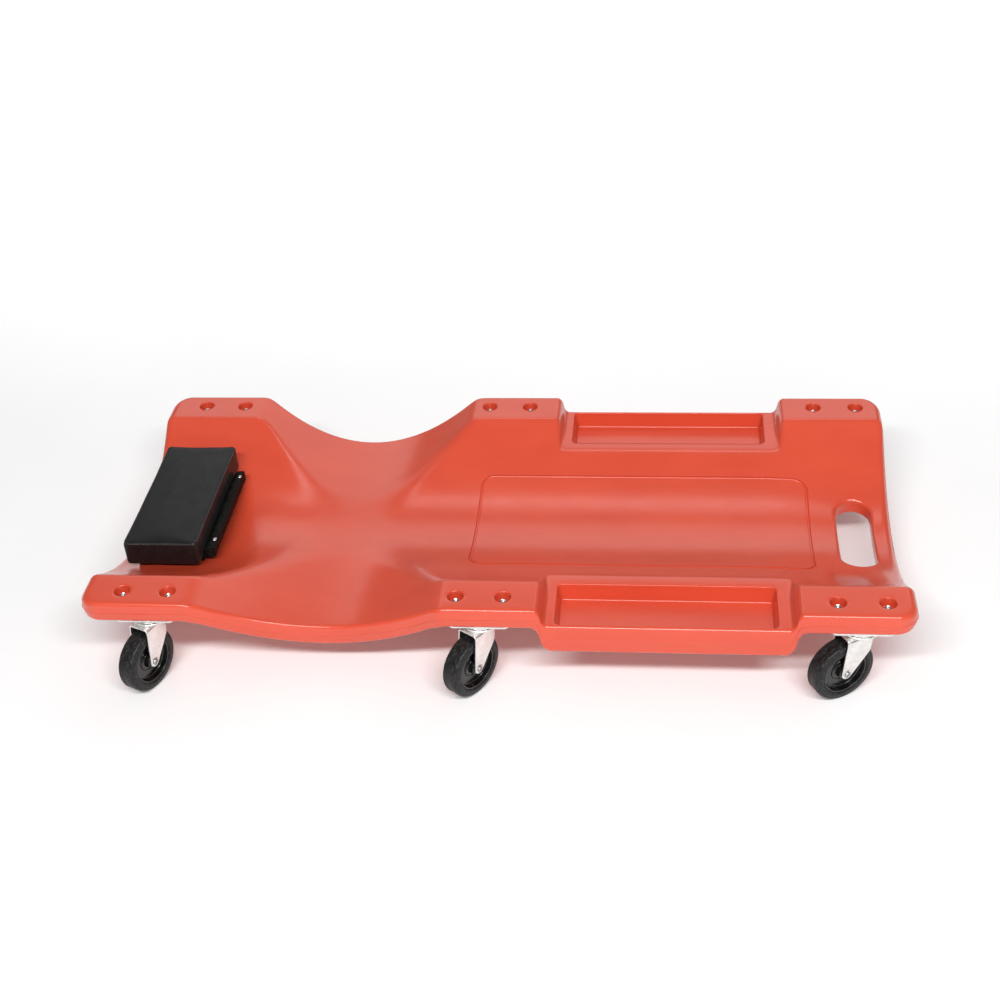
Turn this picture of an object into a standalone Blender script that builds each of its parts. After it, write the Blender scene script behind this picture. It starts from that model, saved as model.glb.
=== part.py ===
"""Mechanics creeper: a hollow moulded deck on six swivel casters, with a padded headrest.

Metres. The deck lies along X with its head end at -X, Z is up and the floor is z = 0.
"left" and "right" are those of a person lying face up on the deck, so right is -Y.
"""

import math

import bmesh
import bpy
import numpy as np
from mathutils import Matrix, Vector

GAP = 0.0003  # between pieces that touch

# Deck: plan
DECK_LENGTH = 1.020
DECK_WIDTH = 0.477
CORNER_RADIUS = 0.028
END_RIM = 0.012  # rounding of the top edge at the two ends
SIDE_RIM = 0.005  # rounding of the top edge along the sides
END_RIM_BELOW = 0.008
SIDE_RIM_BELOW = 0.004

# Deck: heights. The six caster pads are the highest faces.
PAD_TOP = 0.133
DECK_DEPTH = 0.028  # top skin to bottom skin
SKIN = 0.003
TROUGH_HALF_WIDTH = 0.180  # from the middle to the inner edge of the pads
TROUGH_DEPTH = 0.057
TROUGH_END_EXTRA = 0.011  # the trough is this much deeper at both ends
TROUGH_HEAD_END = (-0.300, -0.420)  # where it starts to deepen and where it is deepest
TROUGH_FOOT_END = (0.340, 0.480)
TROUGH_END_THINNING = 0.008  # and its floor this much thinner
SADDLE_X = -0.213  # middle of the dip for the arms
SADDLE_HALF_LENGTH = 0.153
SADDLE_DEPTH = 0.058
SADDLE_WAIST = 0.031  # how far the sides pull in at the saddle
WAIST_START = 0.100
SADDLE_BLEND = 0.009
PAD_BLEND = 0.003
SLOPE_ALLOWANCE = 1.15  # a skin measured upright is thinner across a slope

# Deck: the grid it is built on
GRID_END_X = -0.430
GRID_Y = [0.030, 0.060, 0.090, 0.115, 0.137, 0.158, 0.178, 0.183]
HOLLOW_GRID_Y = [0.045, 0.090, 0.130, 0.158, 0.177]

# Tray blocks, one on each side between the middle and foot casters
BLOCK_X = (0.073, 0.360)
BLOCK_STEP_BELOW = (0.022, 0.004)  # how far the curved step reaches out of and into the block
BLOCK_STEP_ABOVE = (0.017, 0.001)
STEP_POWER = 0.6  # 1 makes the step a smooth ramp, and less makes its middle steeper
BLOCK_TOP = -0.024  # relative to PAD_TOP
BLOCK_BOTTOM = -0.064
TRAY_X = (0.081, 0.348)
TRAY_Y = (0.156, 0.232)
TRAY_DEPTH = 0.022
TRAY_DRAFT = 0.004
TRAY_CORNER = 0.007

# Handle slot through the foot end
SLOT_X = 0.461
SLOT_WIDTH = 0.046
SLOT_LENGTH = 0.140

# Casters
CASTER_X = {"head": -0.427, "mid": -0.010, "foot": 0.445}
CASTER_Y = {"right": -0.211, "left": 0.211}
TRAIL_ANGLE = {"head": 113.8, "mid": 125.8, "foot": 150.8}  # degrees from +X, towards the side
WHEEL_RADIUS = 0.041
TYRE_WIDTH = 0.024
TYRE_BORE = 0.0300
HUB_GAP = 0.0005  # between the hub and its tyre
HUB_HALF_WIDTH = 0.0117
BOSS_RADIUS = 0.0088
WEB_HALF = 0.0035
RIM_INSIDE = 0.0278
HUB_DRAFT = 0.0015
RIM_HALF_WIDTH = 0.0108
TYRE_SHOULDER = (0.0030, 0.0035)  # how far it is cut back in radius and in width
TRAIL = 0.024
PLATE_LENGTH = 0.074
PLATE_WIDTH = 0.048
PLATE_THICKNESS = 0.003
PLATE_CORNER = 0.007
RACE_RADIUS = 0.0224
RACE_DEPTH = 0.0052
RACE_CHAMFER = 0.0022
CROWN_RADIUS = 0.0228
CROWN_DEPTH = 0.0045
CROWN_GAP = 0.0005
BRIDGE_LAP = 0.0005  # how far the flat plate of the fork reaches up into its round crown
BRIDGE_THICKNESS = 0.0028
BRIDGE_X = (-0.0105, 0.0260)
BRIDGE_CORNER = 0.0015
CROWN_CHAMFER = 0.0010
KINGPIN_RADIUS = 0.005
KINGPIN_HEAD = 0.0085
KINGPIN_HEAD_HEIGHT = 0.0032
KINGPIN_SLACK = 0.0007
LEG_INSIDE = 0.0123  # from the wheel's middle plane to a fork leg
LEG_THICKNESS = 0.0022
LEG_TOP_FRONT = -0.0100
LEG_KNEE = (-0.0065, 0.068)  # where the front edge turns in towards the axle
LEG_TOP_BACK = 0.0257
LEG_TIP_RADIUS = 0.0070
LEG_TIP_STEPS = 6
AXLE_RADIUS = 0.004
AXLE_HEAD = 0.0062
AXLE_HEAD_HEIGHT = 0.0022
RUNNING_GAP = 0.0001

# Bolts: an M6 hexagon bolt up through the caster's plate, with a nut down each counterbored hole
BOLT_HALF_SPACING = 0.0289
COUNTERBORE_RADIUS = 0.010
COUNTERBORE_DEPTH = 0.013
BOLT_RADIUS = 0.003
BOLT_HOLE = 0.0034
HEX_RADIUS = 0.00577  # to the corners
BOLT_HEAD_HEIGHT = 0.004
NUT_HEIGHT = 0.006
NUT_BORE = 0.00315
BOLT_RECESS = 0.0008  # how far the bolt's end stops below the top of its nut

# Headrest
CUSHION_X = -0.438
CUSHION_LENGTH = 0.098
CUSHION_WIDTH = 0.225
CUSHION_BOTTOM = PAD_TOP - 0.0410
CUSHION_TOP = PAD_TOP - 0.0035
CUSHION_TOP_EDGE = 0.004
CUSHION_BOTTOM_EDGE = 0.007
BASE_X = (-0.480, -0.392)
BASE_HALF_WIDTH = 0.087
BASE_CLEARANCE = 0.0008
LIP_X = (-0.3815, -0.3745)  # a lip along the foot side of the cushion
LIP_TOP = PAD_TOP - 0.0275
LIP_CHAMFER = 0.001
WEB_BOTTOM = PAD_TOP - 0.0435
WEB_ROOT = 0.008  # how far the web reaches back into the block under the cushion
SCREW_Y = 0.071
SCREW_HEAD_RADIUS = 0.0030
SCREW_HEAD_HEIGHT = 0.002
SCREW_RADIUS = 0.0015
SCREW_HOLE = 0.0018
SCREW_LENGTH = 0.011

# Blow hole in the bottom skin, which opens the hollow
VENT_X = 0.210
VENT_RADIUS = 0.006

# Heights that follow
ABOVE_ALL = PAD_TOP + 0.05  # the top of cutters that run right through
PLATE_TOP = PAD_TOP - DECK_DEPTH - GAP
PLATE_BOTTOM = PLATE_TOP - PLATE_THICKNESS
CROWN_TOP = PLATE_BOTTOM - RACE_DEPTH - CROWN_GAP
CROWN_BOTTOM = CROWN_TOP - CROWN_DEPTH
BRIDGE_TOP = CROWN_BOTTOM + BRIDGE_LAP
BRIDGE_BOTTOM = BRIDGE_TOP - BRIDGE_THICKNESS
BASE_TOP = CUSHION_BOTTOM - GAP


# Surfaces of the deck, as heights over the plan


def smooth_step(value, start, end):
    t = np.clip((value - start) / (end - start), 0, 1)
    return t * t * (3 - 2 * t)


def soft_min(a, b, blend):
    """The smaller of two heights, rounded where they cross."""
    h = np.clip(0.5 + 0.5 * (b - a) / blend, 0, 1)
    return b * (1 - h) + a * h - blend * h * (1 - h)


def at_ends(x):
    """1 at the two ends of the trough, falling to 0 along its middle."""
    return smooth_step(-x, -TROUGH_HEAD_END[0], -TROUGH_HEAD_END[1]) + smooth_step(x, *TROUGH_FOOT_END)


def trough(x, y):
    depth = TROUGH_DEPTH + TROUGH_END_EXTRA * at_ends(x)
    return -depth * (1 - (y / TROUGH_HALF_WIDTH) ** 2)


def saddle_dip(x):
    return 1 - ((x - SADDLE_X) / SADDLE_HALF_LENGTH) ** 2


def pads_and_hollows(x, y):
    """The pads with the lengthwise trough and the crosswise saddle between them, relative to PAD_TOP."""
    return soft_min(soft_min(trough(x, y), 0.0, PAD_BLEND), -SADDLE_DEPTH * saddle_dip(x), SADDLE_BLEND)


def round_step(value, start, end):
    """0 to 1 with a round corner at either end and a steep middle."""
    t = np.clip((value - start) / (end - start), 0, 1)
    to_end = 2 * np.minimum(t, 1 - t)
    rise = 0.5 * (1 - (1 - to_end**2) ** STEP_POWER)
    return np.where(t < 0.5, rise, 1 - rise)


def block(x, step):
    """1 along the tray block, falling to 0 over a round step at either end."""
    low, high = BLOCK_X
    out, into = step
    return round_step(x, low - out, low + into) * (1 - round_step(x, high - into, high + out))


def lowered(surface, level, share):
    """The surface brought down to a level where it is above it, by this share of the way."""
    return surface + share * (soft_min(surface, level, PAD_BLEND) - surface)


def top_height(x, y):
    return PAD_TOP + lowered(pads_and_hollows(x, y), BLOCK_TOP, block(x, BLOCK_STEP_ABOVE))


def bottom_height(x, y):
    thinning = TROUGH_END_THINNING * at_ends(x) * np.clip(1 - (y / TROUGH_HALF_WIDTH) ** 2, 0, 1)
    panel = pads_and_hollows(x, y) - DECK_DEPTH + thinning
    return PAD_TOP + lowered(panel, BLOCK_BOTTOM, block(x, BLOCK_STEP_BELOW))


def waisted(x, y):
    """y pulled in towards the middle where the sides have their waist."""
    reach = np.clip((np.abs(y) - WAIST_START) / (DECK_WIDTH / 2 - WAIST_START), 0, 1)
    return y - np.sign(y) * SADDLE_WAIST * np.clip(saddle_dip(x), 0, 1) * reach


# Mesh helpers


def clear_scene():
    for obj in list(bpy.data.objects):
        bpy.data.objects.remove(obj, do_unlink=True)


def material(name, colour, roughness, metallic=0.0):
    made = bpy.data.materials.new(name)
    made.use_nodes = True
    shader = made.node_tree.nodes["Principled BSDF"]
    shader.inputs["Base Color"].default_value = (*colour, 1)
    shader.inputs["Roughness"].default_value = roughness
    shader.inputs["Metallic"].default_value = metallic
    return made


def add_object(name, mesh, surface=None, place=(0, 0, 0), parent=None):
    obj = bpy.data.objects.new(name, mesh)
    bpy.context.scene.collection.objects.link(obj)
    obj.location = place
    obj.parent = parent
    if surface is not None and not mesh.materials:
        mesh.materials.append(surface)
    return obj


def add_empty(name, place, turn=0.0, parent=None):
    empty = bpy.data.objects.new(name, None)
    bpy.context.scene.collection.objects.link(empty)
    empty.location = place
    empty.rotation_euler = (0, 0, turn)
    empty.parent = parent
    empty.empty_display_size = 0.02
    return empty


def mesh_from(name, bm, smooth_angle=35):
    bmesh.ops.recalc_face_normals(bm, faces=bm.faces)
    mesh = bpy.data.meshes.new(name)
    bm.to_mesh(mesh)
    bm.free()
    mesh.shade_smooth()
    mesh.set_sharp_from_angle(angle=math.radians(smooth_angle))
    return mesh


def turned(name, profile, segments, axis="Z", half_step=False):
    """A closed profile of (radius, height) turned about an axis. Radius 0 makes a pole."""
    bm = bmesh.new()
    rings = []
    for radius, height in profile:
        if radius == 0:
            rings.append([bm.verts.new((0, 0, height))])
            continue
        ring = []
        for i in range(segments):
            angle = math.tau * (i + 0.5 * half_step) / segments
            ring.append(bm.verts.new((radius * math.cos(angle), radius * math.sin(angle), height)))
        rings.append(ring)
    closed = all(len(ring) > 1 for ring in rings)
    pairs = list(zip(rings, rings[1:]))
    if closed:
        pairs.append((rings[-1], rings[0]))
    for low, high in pairs:
        for i in range(segments):
            j = (i + 1) % segments
            corners = [low[i % len(low)], low[j % len(low)], high[j % len(high)], high[i % len(high)]]
            face = list(dict.fromkeys(corners))
            bm.faces.new(face)
    if axis == "Y":
        bmesh.ops.rotate(bm, verts=bm.verts, matrix=Matrix.Rotation(-math.pi / 2, 3, "X"))
    return mesh_from(name, bm)


def rod(name, radius, low, high, segments, axis="Z"):
    low, high = sorted((low, high))
    return turned(name, [(0, low), (radius, low), (radius, high), (0, high)], segments, axis)


def prism(name, outline, low, high, axis="Z", taper=0.0):
    """An outline of (x, y) extruded from low to high; with a taper the low end is smaller all round."""
    bm = bmesh.new()
    centre = sum((Vector(p) for p in outline), Vector((0, 0))) / len(outline)
    lower = []
    for p in outline:
        inward = centre - Vector(p)
        shift = Vector((math.copysign(taper, inward.x), math.copysign(taper, inward.y)))
        lower.append(bm.verts.new((*(Vector(p) + shift), low)))
    upper = [bm.verts.new((*p, high)) for p in outline]
    bm.faces.new(lower)
    bm.faces.new(upper)
    for i in range(len(outline)):
        j = (i + 1) % len(outline)
        bm.faces.new((lower[i], lower[j], upper[j], upper[i]))
    if axis == "Y":
        bmesh.ops.rotate(bm, verts=bm.verts, matrix=Matrix.Rotation(math.pi / 2, 3, "X"))
    return mesh_from(name, bm)


def rounded_rectangle(x_range, y_range, radius, steps):
    """Points anticlockwise; radius is one value, or one for each corner from low x, low y."""
    radii = radius if isinstance(radius, tuple) else (radius,) * 4
    corners = [(0, 0, 180), (1, 0, 270), (1, 1, 0), (0, 1, 90)]
    points = []
    for (i, j, start), r in zip(corners, radii):
        centre = (x_range[i] + r * (1 - 2 * i), y_range[j] + r * (1 - 2 * j))
        for step in range(steps + 1):
            angle = math.radians(start + 90 * step / steps)
            points.append((centre[0] + r * math.cos(angle), centre[1] + r * math.sin(angle)))
    return points


def slot_outline(centre_x, width, length, steps):
    """A stadium whose long side runs along Y."""
    r = width / 2
    straight = length / 2 - r
    points = []
    for side, start in ((1, 0), (-1, 180)):
        for step in range(steps + 1):
            angle = math.radians(start + 180 * step / steps)
            points.append((centre_x + r * math.cos(angle), side * straight + r * math.sin(angle)))
    return points


def boolean(obj, tool, operation="DIFFERENCE"):
    tool.hide_render = True
    tool.display_type = "WIRE"
    modifier = obj.modifiers.new(f"{operation.lower()}_{tool.name}", "BOOLEAN")
    modifier.operation = operation
    modifier.solver = "EXACT"
    modifier.object = tool


def baked(name, obj, tools, surface):
    """The object's mesh with its modifiers applied; the object and its tools are removed."""
    bpy.context.view_layer.update()
    graph = bpy.context.evaluated_depsgraph_get()
    mesh = bpy.data.meshes.new_from_object(obj.evaluated_get(graph))
    mesh.name = name
    for used in [obj, *tools]:
        bpy.data.objects.remove(used, do_unlink=True)
    mesh.materials.clear()
    mesh.materials.append(surface)
    mesh.shade_smooth()
    mesh.set_sharp_from_angle(angle=math.radians(35))
    return mesh


# Deck


def corner_lines(core_steps, rim_steps):
    """Shares across the corner's square, inner to outer, as (share of the flat part, rim angle)."""
    lines = [(step / core_steps, 0.0) for step in range(core_steps + 1)]
    lines += [(1.0, math.pi / 2 * (step + 1) / rim_steps) for step in range(rim_steps)]
    return lines


def corner_reach(line, corner, rim):
    share, angle = line
    return (corner - rim) * share + rim * math.sin(angle)


def signed_lines(half, inner, count):
    """The grid lines along one direction: (place, index within the corner, side or 0)."""
    low = [(-half, index, -1) for index in reversed(range(count))]
    high = [(half, index, 1) for index in range(count)]
    return low + [(place, 0, 0) for place in inner] + high


def deck_plan(xs, ys, lines, inset, end_rim, side_rim):
    """The plan point of each grid crossing, and how far the rounded rim has dropped there."""
    corner = CORNER_RADIUS - inset
    end = [corner_reach(line, corner, end_rim) for line in lines]
    side = [corner_reach(line, corner, side_rim) for line in lines]
    columns = signed_lines(DECK_LENGTH / 2 - CORNER_RADIUS, xs, len(lines))
    rows = signed_lines(DECK_WIDTH / 2 - CORNER_RADIUS, ys, len(lines))
    plan = np.zeros((len(columns), len(rows), 2))
    drop = np.zeros((len(columns), len(rows)))
    for a, (x, i, sign_x) in enumerate(columns):
        for b, (y, j, sign_y) in enumerate(rows):
            outermost = max(i, j)
            if sign_x and sign_y and outermost:
                turn = math.pi / 4 * (j / i if i >= j else 2 - i / j)
            else:
                turn = 0.0 if sign_x and i else math.pi / 2
            across = math.cos(turn) ** 2
            reach = end[outermost] * across + side[outermost] * (1 - across)
            rim = end_rim * across + side_rim * (1 - across)
            offset_x = reach * math.cos(turn) if sign_x else 0.0
            offset_y = reach * math.sin(turn) if sign_y else 0.0
            plan[a, b] = (x + sign_x * offset_x, y + sign_y * offset_y)
            drop[a, b] = rim * (1 - math.cos(lines[outermost][1]))
    plan[:, :, 1] = waisted(plan[:, :, 0], plan[:, :, 1])
    return plan, drop


def sheet(bm, points, heights):
    """A grid of faces over plan points; the corners of the grid are returned, line by line."""
    across, along = heights.shape
    grid = [[bm.verts.new((*points[i, j], heights[i, j])) for j in range(along)] for i in range(across)]
    for i in range(across - 1):
        for j in range(along - 1):
            bm.faces.new((grid[i][j], grid[i + 1][j], grid[i + 1][j + 1], grid[i][j + 1]))
    return grid


def deck_solid(name, xs, ys, lines, inset=0.0):
    """The deck's outer shape, or with an inset the hollow inside it."""
    plan, drop = deck_plan(xs, ys, lines, inset, END_RIM, SIDE_RIM)
    below, rise = deck_plan(xs, ys, lines, inset, END_RIM_BELOW, SIDE_RIM_BELOW)
    skin = SLOPE_ALLOWANCE * inset
    top = top_height(plan[:, :, 0], plan[:, :, 1]) - drop - skin
    bottom = bottom_height(below[:, :, 0], below[:, :, 1]) + rise + skin
    bm = bmesh.new()
    across, along = top.shape

    upper = sheet(bm, plan, top)
    lower = sheet(bm, below, bottom)
    edge = [(i, 0) for i in range(across - 1)] + [(across - 1, j) for j in range(along - 1)]
    edge += [(i, along - 1) for i in range(across - 1, 0, -1)] + [(0, j) for j in range(along - 1, 0, -1)]
    for (i, j), (k, m) in zip(edge, edge[1:] + edge[:1]):
        bm.faces.new((upper[i][j], upper[k][m], lower[k][m], lower[i][j]))
    return mesh_from(name, bm)


def mirrored(values):
    return [-v for v in reversed(values)] + [0.0] + list(values)


def shares_of(start, length, shares):
    return [start + length * share for share in shares]


def block_lines():
    """Grid lines along both curved steps of the tray blocks."""
    low, high = BLOCK_X
    out, into = BLOCK_STEP_BELOW
    shares = (0.0, 0.17, 0.36, 0.5, 0.64, 0.83, 1.0)
    return shares_of(low - out, out + into, shares) + shares_of(high - into, out + into, shares)


def deck_grid():
    """Lines across the deck, close together where its height changes quickly."""
    shares = (-1.08, -0.98, -0.75, -0.5, -0.25, 0.0, 0.25, 0.5, 0.75, 0.98, 1.08)
    xs = [GRID_END_X, *shares_of(SADDLE_X, SADDLE_HALF_LENGTH, shares), *block_lines(), -GRID_END_X]
    return xs, mirrored(GRID_Y)


def hollow_grid():
    shares = (-1.0, -0.88, -0.58, -0.28, 0.0, 0.28, 0.58, 0.88, 1.0)
    xs = [*shares_of(SADDLE_X, SADDLE_HALF_LENGTH, shares), *block_lines()]
    return xs, mirrored(HOLLOW_GRID_Y)


def bolt_places():
    """(name, x, y) of every bolt: two at each caster, a towards the head and b towards the foot."""
    for row, x in CASTER_X.items():
        for side, y in CASTER_Y.items():
            for letter, offset in (("a", -BOLT_HALF_SPACING), ("b", BOLT_HALF_SPACING)):
                yield f"{row}_{side}_{letter}", x + offset, y


def counterbore_cutter():
    floor = PAD_TOP - COUNTERBORE_DEPTH
    above = PAD_TOP + SKIN
    below = floor - DECK_DEPTH
    profile = [(0, below), (BOLT_HOLE, below), (BOLT_HOLE, floor)]
    profile += [(COUNTERBORE_RADIUS, floor), (COUNTERBORE_RADIUS, above), (0, above)]
    return turned("counterbore", profile, 16)


def tray_outline(side, grow=0.0):
    low, high = TRAY_Y if side > 0 else (-TRAY_Y[1], -TRAY_Y[0])
    x_range = (TRAY_X[0] - grow, TRAY_X[1] + grow)
    return rounded_rectangle(x_range, (low - grow, high + grow), TRAY_CORNER + grow, 3)


def tray_floor():
    return PAD_TOP + BLOCK_TOP - TRAY_DEPTH


def build_hollow():
    """The air space inside the deck: its outline inset by one skin, less a wall around each opening."""
    form = deck_solid("hollow_form", *hollow_grid(), corner_lines(core_steps=1, rim_steps=1), SKIN)
    hollow = add_object("hollow_form", form)
    tools = []
    post = rod("post", COUNTERBORE_RADIUS + SKIN, 0, ABOVE_ALL, 12)
    for name, x, y in bolt_places():
        tools.append(add_object(f"post_{name}", post, place=(x, y, 0)))
    slot = slot_outline(SLOT_X, SLOT_WIDTH + 2 * SKIN, SLOT_LENGTH + 2 * SKIN, 8)
    tools.append(add_object("slot_wall", prism("slot_wall", slot, 0, ABOVE_ALL)))
    for side in (-1, 1):
        walls = prism("tray_wall", tray_outline(side, grow=SKIN), tray_floor() - SKIN, ABOVE_ALL)
        tools.append(add_object("tray_wall", walls))
    for tool in tools:
        boolean(hollow, tool)
    mesh = baked("hollow", hollow, tools, None)
    return add_object("hollow", mesh)


def build_deck(surface):
    form = deck_solid("deck", *deck_grid(), corner_lines(core_steps=2, rim_steps=2))
    deck = add_object("deck", form, surface)
    boolean(deck, build_hollow())
    bore = counterbore_cutter()
    for name, x, y in bolt_places():
        boolean(deck, add_object(f"cut_bore_{name}", bore, place=(x, y, 0)))
    slot = slot_outline(SLOT_X, SLOT_WIDTH, SLOT_LENGTH, 8)
    boolean(deck, add_object("cut_slot", prism("cut_slot", slot, 0, ABOVE_ALL)))
    rim = PAD_TOP + BLOCK_TOP + GAP
    for side in (-1, 1):
        tray = prism("cut_tray", tray_outline(side), tray_floor(), rim, taper=TRAY_DRAFT)
        boolean(deck, add_object(f"cut_tray_{side}", tray))
    vent = rod("vent", VENT_RADIUS, -DECK_DEPTH / 2, DECK_DEPTH / 2, 16)
    place = (VENT_X, 0, float(bottom_height(VENT_X, 0.0)))
    boolean(deck, add_object("cut_vent", vent, place=place))
    return deck


# Headrest


def build_cushion(surface):
    """A flat rectangular pad. Its lower edges are rounded more, to sit in the trough."""
    half = CUSHION_WIDTH / 2
    radii = (CUSHION_BOTTOM_EDGE, CUSHION_BOTTOM_EDGE, CUSHION_TOP_EDGE, CUSHION_TOP_EDGE)
    section = rounded_rectangle((-half, half), (CUSHION_BOTTOM, CUSHION_TOP), radii, 3)
    section = [(p[1], p[0]) for p in section]
    bm = bmesh.new()
    inset = CUSHION_TOP_EDGE
    middle = (CUSHION_BOTTOM + CUSHION_TOP) / 2
    rings = []
    for x, share in ((0, 1), (inset, 0), (CUSHION_LENGTH - inset, 0), (CUSHION_LENGTH, 1)):
        ring = []
        shrink_y = 1 - share * inset / half
        shrink_z = 1 - share * inset / (CUSHION_TOP - middle)
        for z, y in section:
            point = (x - CUSHION_LENGTH / 2, y * shrink_y, middle + (z - middle) * shrink_z)
            ring.append(bm.verts.new(point))
        rings.append(ring)
    for low, high in zip(rings, rings[1:]):
        for i in range(len(section)):
            j = (i + 1) % len(section)
            bm.faces.new((low[i], low[j], high[j], high[i]))
    bm.faces.new(rings[0])
    bm.faces.new(rings[-1])
    return add_object("headrest_cushion", mesh_from("headrest_cushion", bm), surface, (CUSHION_X, 0, 0))


def build_base(surface):
    """The block under the cushion: flat on top, with a bottom that follows the trough."""
    xs = np.array([BASE_X[0], GRID_END_X, BASE_X[1]])
    ys = np.array(mirrored([y for y in GRID_Y if y < BASE_HALF_WIDTH] + [BASE_HALF_WIDTH]))
    plan = np.stack(np.meshgrid(xs, ys, indexing="ij"), axis=-1)
    bm = bmesh.new()
    upper = sheet(bm, plan, np.full(plan.shape[:2], BASE_TOP))
    lower = sheet(bm, plan, top_height(plan[:, :, 0], plan[:, :, 1]) + BASE_CLEARANCE)
    for i in range(len(xs) - 1):
        for j in (0, len(ys) - 1):
            bm.faces.new((upper[i][j], upper[i + 1][j], lower[i + 1][j], lower[i][j]))
    for j in range(len(ys) - 1):
        for i in (0, len(xs) - 1):
            bm.faces.new((upper[i][j], upper[i][j + 1], lower[i][j + 1], lower[i][j]))
    base = add_object("headrest_base", mesh_from("headrest_base", bm), surface)
    lip = prism("lip", lip_outline(), -BASE_HALF_WIDTH, BASE_HALF_WIDTH, axis="Y")
    boolean(base, add_object("lip", lip), "UNION")
    hole = rod("lip_hole", SCREW_HOLE, LIP_TOP - SCREW_LENGTH - GAP, LIP_TOP + SCREW_HEAD_HEIGHT, 8)
    for side in (-1, 1):
        boolean(base, add_object(f"lip_hole_{side}", hole, place=(sum(LIP_X) / 2, side * SCREW_Y, 0)))
    return base


def lip_outline():
    """(x, z) of the web that reaches out from under the cushion and the lip that stands at its edge."""
    low, high = LIP_X
    root = BASE_X[1] - WEB_ROOT
    web_top = BASE_TOP - GAP
    points = [(root, WEB_BOTTOM), (high - 3 * LIP_CHAMFER, WEB_BOTTOM)]
    points += [(high, WEB_BOTTOM + 3 * LIP_CHAMFER), (high, LIP_TOP - LIP_CHAMFER)]
    points.append((high - LIP_CHAMFER, LIP_TOP))
    points += [(low + LIP_CHAMFER, LIP_TOP), (low, LIP_TOP - LIP_CHAMFER), (low, web_top)]
    points.append((root, web_top))
    return points


def build_headrest_screws(surface):
    under_head = LIP_TOP + GAP
    crown = under_head + SCREW_HEAD_HEIGHT
    tip = under_head - SCREW_LENGTH
    profile = [(0, tip), (SCREW_RADIUS, tip + 1.5 * SCREW_RADIUS)]
    profile += [(SCREW_RADIUS, under_head), (SCREW_HEAD_RADIUS, under_head)]
    profile += [(SCREW_HEAD_RADIUS * 0.75, crown - SCREW_HEAD_HEIGHT / 5), (0, crown)]
    mesh = turned("headrest_screw", profile, 10)
    for side, y in (("right", -SCREW_Y), ("left", SCREW_Y)):
        add_object(f"headrest_screw_{side}", mesh, surface, (sum(LIP_X) / 2, y, 0))


# Fasteners


def build_bolts(surface):
    head_top = PLATE_BOTTOM - GAP
    head_bottom = head_top - BOLT_HEAD_HEIGHT
    end = PAD_TOP - COUNTERBORE_DEPTH + GAP + NUT_HEIGHT - BOLT_RECESS
    head = add_object("bolt_form", rod("bolt_form", HEX_RADIUS, head_bottom, head_top, 6))
    stem = add_object("bolt_stem", rod("bolt_stem", BOLT_RADIUS, head_top - BOLT_HEAD_HEIGHT / 2, end, 10))
    boolean(head, stem, "UNION")
    mesh = baked("bolt", head, [stem], surface)
    for name, x, y in bolt_places():
        add_object(f"bolt_{name}", mesh, place=(x, y, 0))


def build_nuts(surface):
    bottom = PAD_TOP - COUNTERBORE_DEPTH + GAP
    top = bottom + NUT_HEIGHT
    form = add_object("nut_form", rod("nut_form", HEX_RADIUS, bottom, top, 6))
    bore = add_object("nut_bore", rod("nut_bore", NUT_BORE, bottom - NUT_HEIGHT, top + NUT_HEIGHT, 10))
    boolean(form, bore)
    mesh = baked("nut", form, [bore], surface)
    for name, x, y in bolt_places():
        add_object(f"nut_{name}", mesh, place=(x, y, 0))


# Casters. Each is modelled about its swivel axis, with the wheel trailing towards +X.


def plate_mesh(surface):
    """Top plate with two bolt holes, the upper race pressed out below it and the kingpin riveted in."""
    outline = rounded_rectangle(
        (-PLATE_LENGTH / 2, PLATE_LENGTH / 2), (-PLATE_WIDTH / 2, PLATE_WIDTH / 2), PLATE_CORNER, 2
    )
    plate = add_object("plate_form", prism("plate_form", outline, PLATE_BOTTOM, PLATE_TOP))
    race_bottom = PLATE_BOTTOM - RACE_DEPTH
    head_top = BRIDGE_BOTTOM - KINGPIN_SLACK
    head_bottom = head_top - KINGPIN_HEAD_HEIGHT
    within = (PLATE_BOTTOM + PLATE_TOP) / 2
    profile = [(0, within), (RACE_RADIUS, within), (RACE_RADIUS, race_bottom + RACE_CHAMFER)]
    profile += [(RACE_RADIUS - RACE_CHAMFER, race_bottom), (KINGPIN_RADIUS, race_bottom)]
    profile += [(KINGPIN_RADIUS, head_top), (KINGPIN_HEAD, head_top)]
    profile += [(KINGPIN_HEAD * 0.75, head_bottom), (0, head_bottom)]
    race = add_object("race_form", turned("race_form", profile, 16))
    boolean(plate, race, "UNION")
    hole = rod("plate_hole", BOLT_HOLE, 0, ABOVE_ALL, 8)
    tools = [race]
    for x in (-BOLT_HALF_SPACING, BOLT_HALF_SPACING):
        tools.append(add_object("plate_hole", hole, place=(x, 0, 0)))
        boolean(plate, tools[-1])
    return baked("caster_plate", plate, tools, surface)


def tangent_angle(corner, centre, radius, side):
    """Where a line from the corner touches a circle."""
    to_corner = Vector(corner) - centre
    return math.atan2(to_corner.y, to_corner.x) + side * math.acos(radius / to_corner.length)


def leg_outline():
    """(x, z) of one fork leg: its top edge, then tangents down to a round tip about the axle."""
    top = (BRIDGE_TOP + BRIDGE_BOTTOM) / 2
    centre = Vector((TRAIL, WHEEL_RADIUS))
    front = tangent_angle(LEG_KNEE, centre, LEG_TIP_RADIUS, 1)
    back = tangent_angle((LEG_TOP_BACK, top), centre, LEG_TIP_RADIUS, -1) + math.tau
    points = [(LEG_TOP_FRONT, top), LEG_KNEE]
    for step in range(LEG_TIP_STEPS + 1):
        angle = front + (back - front) * step / LEG_TIP_STEPS
        direction = Vector((math.cos(angle), math.sin(angle)))
        points.append(tuple(centre + LEG_TIP_RADIUS * direction))
    points.append((LEG_TOP_BACK, top))
    return points


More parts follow.
